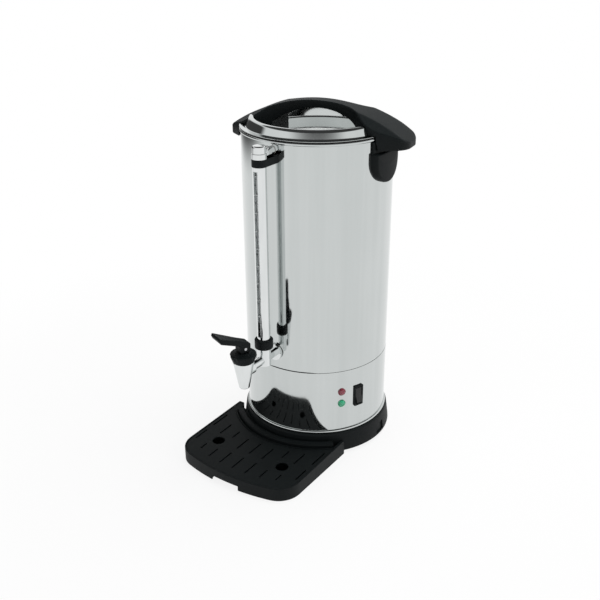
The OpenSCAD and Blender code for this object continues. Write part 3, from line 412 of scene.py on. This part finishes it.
def solidFrom(name, finish, grids, sharp, replaces, body):
    # One mesh from grids of points in millimetres about the tank's axis. Each grid is given with
    # whether its rows and its columns close on themselves
    verts, faces, start = [], [], 0
    for points, closedRows, closedColumns in grids:
        rows, columns = points.shape[:2]
        verts.append(points.reshape(-1, 3))
        faces.append(quadsOf(rows, columns, closedRows, closedColumns) + start)
        start += rows * columns
    place = (np.concatenate(verts) + axis) * mm
    mesh = bpy.data.meshes.new(name)
    mesh.from_pydata(place.tolist(), [], np.concatenate(faces).tolist())
    clean = bmesh.new()
    clean.from_mesh(mesh)
    bmesh.ops.remove_doubles(clean, verts=clean.verts, dist=weldDistance)
    bmesh.ops.dissolve_degenerate(clean, edges=clean.edges, dist=leastLength)
    bmesh.ops.recalc_face_normals(clean, faces=clean.faces)
    clean.to_mesh(mesh)
    clean.free()
    return dress(mesh, name, finish, sharp, replaces, body)


def dress(mesh, name, finish, sharp, replaces, body):
    for polygon in mesh.polygons:
        polygon.use_smooth = True
    mesh.set_sharp_from_angle(angle=math.radians(sharp))
    mesh.materials.clear()
    mesh.materials.append(finishes[finish])
    piece = bpy.data.objects.new(name, mesh)
    bpy.context.scene.collection.objects.link(piece)
    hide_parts(replaces)
    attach(piece, body)
    return piece


def softened(node, name, look, body):
    # A copy of a plain solid with its flat faces joined and its edges rounded by a bevel
    mesh = frame["nodes"][node].data.copy()
    mesh.name = name
    clean = bmesh.new()
    clean.from_mesh(mesh)
    bmesh.ops.remove_doubles(clean, verts=clean.verts, dist=leastLength)
    bmesh.ops.dissolve_limit(clean, angle_limit=math.radians(flatAngle), verts=clean.verts, edges=clean.edges)
    clean.to_mesh(mesh)
    clean.free()
    piece = dress(mesh, name, slotOfNode[node], bevelAngle, node, body)
    bevel = piece.modifiers.new("Edges", "BEVEL")
    bevel.width = look["edge"] * mm
    bevel.segments = look["segments"]
    bevel.limit_method = "ANGLE"
    bevel.angle_limit = math.radians(bevelAngle)
    bevel.use_clamp_overlap = look.get("clamp", True)
    bevel.loop_slide = False               # sliding draws a spike out of the lever's shallow edges
    bevel.harden_normals = True
    return piece


# ---- Tank ----

tankSize = {
    "radius": 110.0, "inner": 109.0, "seam": 140.0,
    # Inwards from the radius and up from the seam
    "footOutline": [(1.0, 3.0), (1.0, 0.6), (0.3, 0.1), (0.0, 2.0)], "footRounds": [0.3, 0.5], "footSteps": 4,
    "rimCentre": (109.7, 481.2), "rimRadius": 2.2, "rimSteps": 28, "underRim": 3.0, "underBead": 0.3,
    "outerFrom": 3.0, "outerRows": 10, "innerTo": 4.0, "innerRows": 6, "turns": 256, "sharp": 60.0,
}


def makeTank(size):
    # Wall and rolled rim as one closed profile: up the outside, round the bead, down the inside
    centre = size["rimCentre"]
    bead = size["rimRadius"]
    low = math.degrees(-math.acos((size["radius"] - centre[0]) / bead))
    high = 360 - math.degrees(math.acos((size["inner"] - centre[0]) / bead))
    roll = arcPoints(centre, bead, low, high, size["rimSteps"])
    foot = rounded([(size["radius"] - inset, size["seam"] + height) for inset, height in size["footOutline"]],
                   size["footRounds"], size["footSteps"])
    top = centre[1] - size["underRim"]
    inner = np.linspace(top, size["seam"] + size["innerTo"], size["innerRows"])
    outer = np.linspace(size["seam"] + size["outerFrom"], top, size["outerRows"])
    inside = np.array([[size["inner"], z] for z in inner])
    outside = np.array([[size["radius"], z] for z in outer])
    last = [size["radius"], roll[0][1] - size["underBead"]]
    profile = np.concatenate([foot, outside, [last], roll, inside])
    wall = turned(profile, fullTurn(size["turns"]))
    solidFrom("TankShell", "polished_steel", [(wall, True, True)], size["sharp"], "tank", "urn")


# ---- Lid ----

lidSize = {
    "sheet": 0.9, "turns": 256, "steps": 8, "support": 0.5, "edgeArc": 80, "edgeSteps": 6, "sharp": 60.0,
    "outline": [(0, 478.3), (85.6, 478.3), (89.6, 498.0), (97.0, 498.0), (103.0, 485.9), (111.4, 485.9)],
    "rounds": [1.6, 3.4, 5.6, 1.6],
}


def lidProfile(size):
    # The upper side from the middle outwards, with support points
    return supported(rounded(size["outline"], size["rounds"], size["steps"]), size["support"])


def makeLid(size):
    # The upper side, a rolled edge and the lower side, which is the upper one lowered along its normal
    top = lidProfile(size)
    step = np.gradient(top, axis=0)
    normal = np.stack([-step[:, 1], step[:, 0]], 1) / np.linalg.norm(step, axis=1)[:, None]
    under = top - normal * size["sheet"]
    under[0] = [0, top[0][1] - size["sheet"]]
    half = size["sheet"] / 2
    edge = arcPoints((top[-1][0] - half, top[-1][1] - half), half, size["edgeArc"], -size["edgeArc"],
                     size["edgeSteps"])
    profile = np.concatenate([top[:-1], edge, under[-2::-1]])
    sheet = turned(profile, fullTurn(size["turns"]))
    solidFrom("LidPressing", "polished_steel", [(sheet, True, False)], size["sharp"], "lid", "lid")


# ---- Lid handle ----

# Pairs hold the values of a foot's two sides, which differ a little
handleSize = {
    "turn": 9.5, "shift": 6.0,
    "topZ": 521.0, "arch": 230.0, "roofHalf": 25.0, "roofSlope": 0.32, "crease": 1.2,
    "half": 136.8, "round": 26.0, "cornerWidth": 8.0, "taper": (0.56, 0.8),
    "gripHalfWidth": 11.2, "flare": (36.3, 36.0), "flareMiddle": (66.0, 72.0), "flareRun": 9.0, "blend": 2.0,
    "gripTop": 510.5, "gripArc": 110.0, "gripHalf": 66.0, "skirtLow": 466.2, "skirtInner": 113.4,
    "skirtFrom": 100.0, "skirtRamp": 2.0, "footLow": 478.5,
    "edge": 2.0, "underEdge": 1.2, "lidGap": 0.12, "leastDepth": 0.5,
    "creaseShare": 0.72, "creasePower": 6, "leanStep": 0.1, "leanMost": 4.0, "sharp": 32.0,
    # Rows along the half: under the arch, over the lid, over its steps, beyond it and round the tip
    "archRows": 34, "gripRows": 8, "stepRows": 40, "footRows": 18, "edgeRows": 7,
    "rowGap": 1.0, "stepFrom": 82.0, "stepTo": 112.0,
    # A row is bent in full from bendFull outwards, and less again between the last two distances from the tip
    "bendFull": 80.0, "bendTip": (1.0, 4.0), "repeats": 120, "pull": 0.7,
    # Columns from the middle line to the side: first, last and count of each run, then round the edge
    "columnRuns": [(0, 0.46, 6), (0.48, 0.54, 5), (0.6, 0.9, 7)], "edgeColumn": 0.08, "edgeTurn": (12, 90, 7),
}


def handleTouch(side, size):
    # How far out the straight taper of a side runs into the tip's round corner
    return size["half"] - size["round"] + size["round"] * math.sin(math.atan(size["taper"][side]))


def handleSide(s, side, size):
    # Half the width at a distance s from the middle: the smaller, softly blended, of a flare
    # flare / (1 + exp((middle - s) / run)) and a straight taper. Beyond the taper comes the tip's arc
    touch = handleTouch(side, size)
    flared = size["gripHalfWidth"] + size["flare"][side] / (
        1 + np.exp((size["flareMiddle"][side] - s) / size["flareRun"]))
    end = size["cornerWidth"] + size["round"] * math.cos(math.atan(size["taper"][side]))
    tapered = end + size["taper"][side] * (touch - s)
    straight = -size["blend"] * np.log(np.exp(-flared / size["blend"]) + np.exp(-tapered / size["blend"]))
    near = size["half"] - size["round"]
    tip = size["cornerWidth"] + np.sqrt(np.maximum(size["round"] ** 2 - (s - near) ** 2, 0))
    return np.where(s > touch, tip, straight)


def handleHalfWidth(s, f, size):
    # Columns with a negative f lie on the first of the two sides
    return np.where(f > 0, handleSide(s, 1, size), handleSide(s, 0, size))


def handleTop(s, y, size):
    # The top is an arch turned about a level line below it. Its radius falls with abs(y) outside
    # the flat middle: ramp(u) = (u + sqrt(u^2 + crease^2)) / 2 with u = abs(y) - roofHalf
    u = np.abs(y) - size["roofHalf"]
    ramp = (u + np.sqrt(u ** 2 + size["crease"] ** 2)) / 2
    radius = size["arch"] - size["roofSlope"] * ramp
    return size["topZ"] - size["arch"] + np.sqrt(radius ** 2 - s ** 2)


def handleAcross(s, f, size):
    # Distance from the middle line of column f (0 to 1): the first half of the columns lies on the
    # flat of the top and the second half between its crease and the side
    width = handleHalfWidth(s, f, size)
    inside = size["creaseShare"] * width
    power = size["creasePower"]
    crease = inside * size["roofHalf"] / (inside ** power + size["roofHalf"] ** power) ** (1 / power)
    first = np.clip(np.abs(f) * 2, 0, 1) * crease
    second = np.clip(np.abs(f) * 2 - 1, 0, 1) * (width - crease)
    return np.sign(f) * (first + second)


def edgeDrop(distance, radius):
    # Depth of a quarter round at a distance inwards from its edge:
    # radius - sqrt(radius^2 - (radius - distance)^2)
    return radius - np.sqrt(radius ** 2 - np.clip(radius - distance, 0, radius) ** 2)


def handleHalf(size, middle):
    # Half of the handle as a grid of columns across it. A row starts at c on the centre line and
    # bends into a circle about the tank's axis, at middle, where it crosses the lid. So the steps of
    # the underside, which are circles there, follow the grid
    grip = size["gripHalf"]
    gap = size["rowGap"]
    clear = size["skirtInner"] + middle
    arch = np.linspace(0, grip, size["archRows"])
    nearLid = np.linspace(grip + 2 * gap, size["stepFrom"] - gap + middle, size["gripRows"])
    steps = np.linspace(size["stepFrom"], size["stepTo"], size["stepRows"]) + middle
    overLid = np.concatenate([[grip], nearLid, steps, [clear]])
    foot = np.linspace(clear + gap, size["half"] - 3 * gap, size["footRows"])
    turn = np.radians(np.linspace(0, 90, size["edgeRows"]))
    beyond = np.concatenate([[clear], foot, size["half"] - size["edge"] * (1 - np.sin(turn))])
    centres = np.concatenate([arch, overLid, beyond])
    profile = lidProfile(lidSize)
    under = np.concatenate([
        size["gripTop"] - size["gripArc"] + np.sqrt(size["gripArc"] ** 2 - arch ** 2),
        np.interp(overLid - middle, profile[:, 0], profile[:, 1]) + size["lidGap"],
        np.full(len(beyond), size["skirtLow"])])
    radius = centres - middle
    near, far = size["bendTip"]
    bend = np.clip((centres - grip) / (size["bendFull"] + middle - grip), 0, 1)
    bend = bend * np.clip((size["half"] - near - centres) / (size["half"] - far - clear), 0, 1)
    edge = 1 - size["edgeColumn"] * np.cos(np.radians(np.linspace(*size["edgeTurn"])))
    across = np.concatenate([np.linspace(*run) for run in size["columnRuns"]] + [edge])
    f = np.concatenate([-across[:0:-1], across])[None, :]
    s = np.repeat(centres[:, None], f.shape[1], 1)
    # A row's point lies at y = across(s, f) and s = c - bend (radius - sqrt(radius^2 - y^2)). It is
    # found by going towards it again and again
    for repeat in range(size["repeats"]):
        y = handleAcross(s, f, size)
        bent = centres[:, None] - bend[:, None] * (
            radius[:, None] - np.sqrt(np.maximum(radius[:, None] ** 2 - y ** 2, 0)))
        s = s + size["pull"] * (bent - s)
    y = handleAcross(s, f, size)
    width = handleHalfWidth(s, f, size)
    step = size["leanStep"]
    lean = (handleHalfWidth(s + step, f, size) - handleHalfWidth(s - step, f, size)) / (2 * step)
    side = (width - np.abs(y)) / np.sqrt(1 + np.minimum(lean ** 2, size["leanMost"]))
    corner = size["round"] - np.hypot(s - size["half"] + size["round"], np.abs(y) - size["cornerWidth"])
    tip = size["half"] - s
    touch = np.where(f > 0, handleTouch(1, size), handleTouch(0, size))
    distance = np.where((s > touch) & (np.abs(y) > size["cornerWidth"]), corner, np.minimum(side, tip))
    top = handleTop(s, y, size) - edgeDrop(distance, size["edge"])
    # The skirt is only as deep as the rest of the foot where it is nearer to the middle than skirtFrom
    ramp = size["skirtRamp"]
    share = np.clip((size["skirtFrom"] + ramp / 2 - s) / ramp, 0, 1)
    raised = share * (size["footLow"] - size["skirtLow"])
    low = np.where(under[:, None] > size["skirtLow"], under[:, None], size["skirtLow"] + raised)
    bottom = low + edgeDrop(distance, size["underEdge"])
    upper = np.stack([s, y, top], 2)
    lower = np.stack([s, y, np.minimum(bottom, top - size["leastDepth"])], 2)
    return upper, lower


def makeHandle(size):
    grids = []
    for mirror in (1, -1):
        upper, lower = handleHalf(size, -mirror * size["shift"])
        loop = np.concatenate([upper, lower[:, ::-1]], 1) * [mirror, mirror, 1] + [size["shift"], 0, 0]
        grids.append((facing(loop, size["turn"]), False, True))
        columns = upper.shape[1]
        tip = np.stack([loop[-1, :columns], loop[-1, columns:][::-1]], 0)
        grids.append((facing(tip, size["turn"]), False, False))
    solidFrom("LidArch", "black_plastic", grids, size["sharp"], "lid_handle", "lid")


# ---- Side brackets ----

bracketSize = {
    "face": 119.0, "rootHalf": 29.9, "arcZ": 449.0, "top": 462.6, "cornerRound": 3.0, "leastRound": 0.3,
    "edge": 2.4, "edgeFrom": 4.2, "edgeInset": 0.6, "edgeTurn": (15, 90, 6), "barrel": 150.0, "root": 109.5,
    "faceInsets": (4, 12.5, 5), "faceShares": (0.66, 0.33, 0.0), "faceMiddle": 444.0,
    "arcSteps": 24, "cornerSteps": 4, "plateRoundSteps": 3, "sharp": 38.0,
    "plateOutline": [(110.2, 455), (110.2, 478.4), (112.9, 478.4), (112.9, 455), (110.2, 455)],
    "plateRounds": [0.3, 0.6, 0.3], "plateHalfAngle": 15.1, "plateSteps": 31,
}


def bracketRing(size, inset):
    # The outline drawn in by inset: a half circle below two straight sides and a straight top
    half = size["rootHalf"] - inset
    top = size["top"] - inset
    arc = arcPoints((0, size["arcZ"]), half, 180, 360, size["arcSteps"])
    sides = rounded([(half, size["arcZ"]), (half, top), (-half, top), (-half, size["arcZ"])],
                    [max(size["cornerRound"] - inset, size["leastRound"])] * 2, size["cornerSteps"])
    return np.concatenate([arc[:-1], sides[:-1]])


def makeBracket(size, azimuth, node, name):
    # Rings of the outline from the tank's wall outwards, round the edge and over a face that is
    # bent like a barrel: depth falls with x squared
    rings = []
    for depth in (size["root"], size["face"] - size["edgeFrom"]):
        rings.append((bracketRing(size, 0), depth))
    for angle in np.radians(np.linspace(*size["edgeTurn"])):
        inset = size["edgeInset"] + size["edge"] * (1 - math.cos(angle))
        rings.append((bracketRing(size, inset), size["face"] - size["edge"] * (1 - math.sin(angle))))
    for inset in np.linspace(*size["faceInsets"]):
        rings.append((bracketRing(size, inset), size["face"]))
    last = rings[-1][0]
    middle = [0, size["faceMiddle"]]
    for share in size["faceShares"]:
        rings.append(((last - middle) * share + middle, size["face"]))
    grid = []
    for ring, depth in rings:
        x, z = ring[:, 0], ring[:, 1]
        grid.append(np.stack([x, x ** 2 / (2 * size["barrel"]) - depth, z], 1))
    points = np.array(grid)
    # The first ring lies in the tank's wall
    points[0, :, 1] = -np.sqrt(size["root"] ** 2 - points[0, :, 0] ** 2)
    plate = rounded(size["plateOutline"], size["plateRounds"], size["plateRoundSteps"])
    half = size["plateHalfAngle"]
    grids = bowed(plate, azimuth - half, azimuth + half, size["plateSteps"])
    grids.append((facing(points, azimuth), False, True))
    solidFrom(name, "black_plastic", grids, size["sharp"], node, "urn")


# ---- Foot ring ----

footSize = {
    "outline": [(96, 34.6), (96, 36.2), (112.8, 36.2), (114.4, 33.2), (117.5, 12), (118, 5), (115, 5),
                (111.4, 33.2), (96, 33.2), (96, 34.6)],
    "rounds": [0.6, 1.6, 6, 12, 0.8, 0.8, 1.0, 0.6],
    "wallHeights": (5, 12, 33.2), "wallRadii": (118, 117.5, 114.4), "topRadius": 112.8, "leastWall": 114.0,
    "leastFoot": 115.5, "notchAz": (88.1, 98.9), "notchZ": (8.0, 23.0), "notchDepth": 2.4,
    "notchStep": 0.2, "notchEdge": 0.4, "turns": 240, "support": 0.5, "sharp": 38.0,
    "collarOutline": [(115, 12), (115, 24.6), (117.6, 24.6), (121.2, 28),
                      (130, 28), (130, 5), (115, 5), (115, 12)],
    "collarRounds": [0.4, 1.2, 1.2, 2.2, 0.8, 0.4], "collarHalfAngle": 45.0, "collarSteps": 91,
    "lumpOutline": [(105, 4), (105, 5.3), (118, 5.3), (118, 2), (105, 2), (105, 4)],
    "lumpRounds": [0.2, 0.2, 0.8, 0.8], "lumpAz": (45, 135, 225, 315), "lumpHalfAngle": 9.2,
    "lumpSteps": 17, "lumpRoundSteps": 3,
}


def makeFootRing(size):
    # The flared ring: its outer wall steps in by the notch's depth between the notch's edges
    profile = supported(rounded(size["outline"], size["rounds"]), size["support"])
    low, high = size["notchZ"]
    edge = size["notchEdge"]
    heights = np.array([high, high - edge, low + edge, low])
    wall = np.stack([np.interp(heights, size["wallHeights"], size["wallRadii"]), heights], 1)
    place = np.argmax((profile[:, 0] > size["topRadius"]) & (profile[:, 1] < high))
    upper, lower = profile[:place], profile[place:]
    covered = (lower[:, 0] > size["leastFoot"]) & (lower[:, 1] > low) & (lower[:, 1] < high)
    profile = np.concatenate([upper, wall, lower[~covered]])
    first, last = size["notchAz"]
    step = size["notchStep"]
    azimuths = np.sort(np.concatenate([fullTurn(size["turns"]), [first, first + step, last - step, last]]))
    points = turned(profile, azimuths)
    inAz = (azimuths > first + step / 2) & (azimuths < last - step / 2)
    inZ = (profile[:, 1] > low + edge / 2) & (profile[:, 1] < high - edge / 2)
    inWall = inZ & (profile[:, 0] > size["leastWall"])
    depth = size["notchDepth"] * inAz[:, None] * inWall[None, :]
    points[..., :2] *= (1 - depth / profile[None, :, 0])[..., None]
    grids = [(points, True, False)]
    collar = supported(rounded(size["collarOutline"], size["collarRounds"]), size["support"])
    grids += bowed(collar, -size["collarHalfAngle"], size["collarHalfAngle"], size["collarSteps"])
    lump = rounded(size["lumpOutline"], size["lumpRounds"], size["lumpRoundSteps"])
    half = size["lumpHalfAngle"]
    for azimuth in size["lumpAz"]:
        grids += bowed(lump, azimuth - half, azimuth + half, size["lumpSteps"])
    solidFrom("FootRing", "black_plastic", grids, size["sharp"], "base_ring", "urn")


# ---- Level gauge ----

gaugeSize = {
    "y": 138.0,
    "capOutline": [(0, 482.6), (9.3, 482.6), (9.3, 472.5), (10.3, 472.3),
                   (10.3, 465.0), (5.8, 465.0), (5.8, 477.5), (0, 477.5)],
    "capRounds": [2.4, 0.2, 0.5, 0.3, 0.2, 0.3],
    "stubZ": 471.0,
    "stubOutline": [(3.5, 98.0), (4.6, 98.0), (4.6, 110.6), (5.9, 110.6), (5.9, 119.2),
                    (7.6, 119.2), (7.6, 128.0), (5.9, 128.4), (5.9, 134.0)],
    "stubRounds": [0.3, 0.2, 0.4, 0.2, 0.7, 0.5, 0.2],
    "cupOutline": [(4, 187), (13.5, 187), (13.5, 201), (9.7, 201), (9.7, 191)], "cupRounds": [1.4, 1.6, 0.5],
    "turns": 72, "endSupport": 0.2, "cupSupport": 0.3, "sharp": 40.0,
}


def aboutPost(profile, turns, y):
    # A profile of radius and height carried round a vertical axis in front of the tank
    return moved(turned(profile, fullTurn(turns)), 0, -y, 0)


def alongSpout(profile, turns, z):
    # A profile of radius and distance from the tank's axis carried round a line towards the front
    angle = np.radians(fullTurn(turns))[:, None]
    radius = profile[None, :, 0]
    outwards = np.broadcast_to(profile[None, :, 1], (turns, len(profile)))
    return np.stack([radius * np.sin(angle), -outwards, z + radius * np.cos(angle)], 2)


def makeGaugeEnds(size):
    cap = supported(rounded(size["capOutline"], size["capRounds"]), size["endSupport"])
    stub = supported(rounded(size["stubOutline"], size["stubRounds"]), size["endSupport"])
    solidFrom("GaugeCap", "chrome", [(aboutPost(cap, size["turns"], size["y"]), True, False),
                                     (alongSpout(stub, size["turns"], size["stubZ"]), True, False)],
              size["sharp"], "gauge_cap", "urn")
    cup = supported(rounded(size["cupOutline"], size["cupRounds"]), size["cupSupport"])
    solidFrom("GaugeCup", "black_plastic", [(aboutPost(cup, size["turns"], size["y"]), True, False)],
              size["sharp"], "gauge_cup", "urn")


# ---- Tap ----

tapSize = {
    "y": 186.0, "z": 168.0, "spoutBoss": [(6.6, 168.0), (9.2, 168.0), (9.2, 180.0)], "bossRounds": [0.8],
    "outline": [(4.5, 162), (4.5, 143.8), (7.6, 143.8), (15.5, 186), (9, 186), (9, 162), (4.5, 162)],
    "rounds": [0.5, 1.0, 1.2, 0.3, 0.3], "turns": 96, "coneSupport": 0.4, "bossSupport": 0.3, "sharp": 40.0,
    "bonnetOutline": [(8, 186.1), (15.4, 186.1), (19.2, 196.0), (18.2, 198.6),
                      (11.4, 200.0), (10.8, 201.0), (2.6, 201.0)],
    "bonnetRounds": [1.0, 1.6, 2.0, 0.6, 0.8], "bonnetTurns": 256, "bonnetRows": 7, "bonnetSupport": 0.5,
    "bonnetSharp": 50.0,
    "scallops": 8, "scallopCentre": 23.4, "scallopRadius": 6.0, "scallopTop": 198.6, "scallopFade": 1.2,
    "scallopSoft": 0.8, "scallopFrom": 11.5, "clearRadius": 30.0,
}


def makeTap(size):
    cone = supported(rounded(size["outline"], size["rounds"]), size["coneSupport"])
    boss = supported(rounded(size["spoutBoss"], size["bossRounds"]), size["bossSupport"])
    solidFrom("TapSpout", "chrome", [(aboutPost(cone, size["turns"], size["y"]), True, False),
                                     (alongSpout(boss, size["turns"], size["z"]), True, False)],
              size["sharp"], "tap_body", "urn")
    # The bonnet's radius is the smaller of its profile and the distance to the scallop's circle:
    # centre cos(angle) - sqrt(radius^2 - (centre sin(angle))^2), softened where the two meet
    profile = supported(rounded(size["bonnetOutline"], size["bonnetRounds"]), size["bonnetSupport"])
    tall = np.linspace(0, 1, size["bonnetRows"])[1:-1, None]
    side = np.argmax(np.linalg.norm(np.diff(profile, axis=0), axis=1))
    profile = np.concatenate([profile[:side + 1], profile[side] + tall * (profile[side + 1] - profile[side]),
                              profile[side + 1:]])
    azimuths = fullTurn(size["bonnetTurns"])
    pitch = 360 / size["scallops"]
    off = np.radians((azimuths + pitch / 2) % pitch - pitch / 2)
    across = size["scallopCentre"] * np.sin(off)
    depth = np.sqrt(np.maximum(size["scallopRadius"] ** 2 - across ** 2, 0))
    reach = np.where(np.abs(across) < size["scallopRadius"],
                     size["scallopCentre"] * np.cos(off) - depth, size["clearRadius"])
    points = turned(profile, azimuths)
    radius = np.broadcast_to(profile[None, :, 0], points.shape[:2])
    above = profile[None, :, 1] - size["scallopTop"]
    fade = np.clip(above / size["scallopFade"] + 1, 0, 1)
    cut = reach[:, None] + fade * size["scallopRadius"]
    blend = np.clip(0.5 + 0.5 * (cut - radius) / size["scallopSoft"], 0, 1)
    soft = radius * blend + cut * (1 - blend) - size["scallopSoft"] * blend * (1 - blend)
    soft = np.where(radius > size["scallopFrom"], soft, radius)
    points[..., :2] *= (soft / radius)[..., None]
    solidFrom("TapBonnet", "black_plastic", [(moved(points, 0, -size["y"], 0), True, False)],
              size["bonnetSharp"], "valve_bonnet", "urn")


makeTank(tankSize)
makeLid(lidSize)
makeHandle(handleSize)
makeBracket(bracketSize, 90, "lock_bracket_right", "RightBracket")
makeBracket(bracketSize, -90, "lock_bracket_left", "LeftBracket")
print("tank and lid made")
makeFootRing(footSize)
softened("drip_tray", "TrayTub", {"edge": 0.8, "segments": 3}, "tray")
softened("drip_grid", "TrayGrid", {"edge": 0.45, "segments": 2}, "grid")
print("foot ring and tray made")
makeGaugeEnds(gaugeSize)
makeTap(tapSize)
softened("gauge_clamp", "GaugeStrap", {"edge": 0.5, "segments": 2, "clamp": False}, "urn")
softened("tap_lever", "TapPaddle", {"edge": 0.9, "segments": 3, "clamp": False}, "tap_lever")
softened("switch_housing", "SwitchBezel", {"edge": 0.4, "segments": 2, "clamp": False}, "urn")
softened("rocker", "SwitchRocker", {"edge": 0.4, "segments": 2, "clamp": False}, "rocker")
softened("power_inlet", "InletFlange", {"edge": 0.35, "segments": 2, "clamp": False}, "urn")
print("gauge, tap and switch made")


# ---- Camera, light and floor ----

view = {
    "place": (638.3, -914.8, 741.6),   # millimetres
    "turn": 34.79,                     # degrees round from the front, seen from above
    "pitch": 24.5,                     # degrees down
    "roll": -0.31,
    "lens": 49.22,
    "sensor": 36.0,
    "clipEnd": 50.0,
    "lampAim": (0, 0, 0.25),
    "lamps": {
        # name: place in metres, size in metres, power in watts
        "Key": ((-0.9, -1.5, 1.9), 1.4, 7.0),
        "Top": ((0.2, 0.5, 2.2), 1.6, 46.0),
        "Side": ((1.9, 0.2, 1.3), 1.2, 7.0),
    },
    "worldDiffuse": 0.26,
    "ceilingLow": 0.56, "ceilingHigh": 0.66, "darkness": 0.94,
    "roomEdge": 0.8, "roomFull": 0.9, "roomNear": 1.5, "roomFar": 2.2,
    "floorRadius": 30.0, "floorSides": 128, "floorGap": 0.0005, "floorTone": 0.8,
    "shadowShare": 0.14, "shadowNear": 0.35, "shadowFar": 0.9,
}


def makeCamera(look):
    camera = bpy.data.cameras.new("Camera")
    camera.lens = look["lens"]
    camera.sensor_width = look["sensor"]
    camera.clip_end = look["clipEnd"]
    rig = bpy.data.objects.new("Camera", camera)
    yaw = math.radians(look["turn"])
    pitch = math.radians(look["pitch"])
    forward = Vector((-math.sin(yaw) * math.cos(pitch), math.cos(yaw) * math.cos(pitch), -math.sin(pitch)))
    side = Vector((math.cos(yaw), math.sin(yaw), 0))
    up = side.cross(forward)
    roll = math.radians(look["roll"])
    right = side * math.cos(roll) + up * math.sin(roll)
    top = up * math.cos(roll) - side * math.sin(roll)
    pose = Matrix((right, top, -forward)).transposed().to_4x4()
    pose.translation = Vector(look["place"]) * mm
    rig.matrix_world = pose
    bpy.context.scene.collection.objects.link(rig)
    bpy.context.scene.camera = rig


def makeLamps(look):
    for name, (place, size, power) in look["lamps"].items():
        lamp = bpy.data.lights.new(name, "AREA")
        lamp.shape = "DISK"
        lamp.size = size
        lamp.energy = power
        rig = bpy.data.objects.new(name, lamp)
        rig.location = place
        aim = Vector(look["lampAim"]) - Vector(place)
        rig.rotation_euler = aim.to_track_quat("-Z", "Y").to_euler()
        rig.visible_glossy = False
        bpy.context.scene.collection.objects.link(rig)


def rayKinds(start):
    # 1 for rays that make the picture directly or through metal and glass, and 1 for rays off metal
    rays = start.put("ShaderNodeLightPath").out.node
    camera, glossy, through = (Sock(start.tree, rays.outputs[name])
                               for name in ("Is Camera Ray", "Is Glossy Ray", "Is Transmission Ray"))
    seen = start.maths("MAXIMUM", start.maths("MAXIMUM", camera, through), glossy)
    return seen, glossy


def makeWorld(look):
    world = bpy.data.worlds.new("Studio")
    world.use_nodes = True
    bpy.context.scene.world = world
    tree = world.node_tree
    start = Sock(tree)
    seen, glossy = rayKinds(start)
    background = tree.nodes["Background"]
    background.inputs["Color"].default_value = (1, 1, 1, 1)
    # Rays off metal meet a dark ceiling when they go up steeply, and a dark room at the left
    direction = start.put("ShaderNodeTexCoord", output=0)
    x, z = (start.put("ShaderNodeSeparateXYZ", inputs={"Vector": direction}, output=index)
            for index in (0, 2))
    ceiling = z.between(look["ceilingLow"], look["ceilingHigh"])
    room = (0 - x).between(look["roomEdge"], look["roomFull"])
    dark = start.maths("MAXIMUM", ceiling, room) * look["darkness"]
    level = look["worldDiffuse"] + seen * (1 - look["worldDiffuse"])
    strength = level * (1 - dark * glossy)
    tree.links.new(strength.out, background.inputs["Strength"])


def makeFloor(look):
    count = look["floorSides"]
    angle = np.linspace(0, 2 * np.pi, count + 1)[:-1]
    ring = np.stack([np.cos(angle), np.sin(angle), np.zeros(count)], 1) * look["floorRadius"]
    ring[:, 2] = -look["floorGap"]
    mesh = bpy.data.meshes.new("Floor")
    mesh.from_pydata(ring.tolist(), [], [list(range(count))])
    floor = bpy.data.objects.new("Floor", mesh)
    bpy.context.scene.collection.objects.link(floor)
    material = bpy.data.materials.new("PaleFloor")
    material.use_nodes = True
    tree = material.node_tree
    tree.nodes.clear()
    start = Sock(tree)
    seen, glossy = rayKinds(start)
    place = start.put("ShaderNodeTexCoord", output=3)
    distance = start.put("ShaderNodeVectorMath", {"operation": "LENGTH"}, {0: place}, 1)
    x = start.put("ShaderNodeSeparateXYZ", inputs={"Vector": place})
    # The shadow shows only near the urn, and rays off metal find the floor dark far to the left
    share = (1 - distance.between(look["shadowNear"], look["shadowFar"])) * look["shadowShare"]
    room = (0 - x).between(look["roomNear"], look["roomFar"]) * glossy * look["darkness"]
    pale = (look["floorTone"],) * 3 + (1,)
    plain = start.put("ShaderNodeBsdfDiffuse", inputs={"Color": pale})
    glow = start.put("ShaderNodeEmission", inputs={"Color": (1, 1, 1, 1), "Strength": 1 - room})
    bright = start.put("ShaderNodeMixShader", inputs={0: 1 - share, 1: plain, 2: glow})
    whole = start.put("ShaderNodeMixShader", inputs={0: seen, 1: plain, 2: bright})
    out = tree.nodes.new("ShaderNodeOutputMaterial")
    tree.links.new(whole.out, out.inputs["Surface"])
    mesh.materials.append(material)


bpy.context.scene.view_settings.view_transform = "Standard"
makeCamera(view)
makeLamps(view)
makeWorld(view)
makeFloor(view)
print("camera, lamps and floor made")
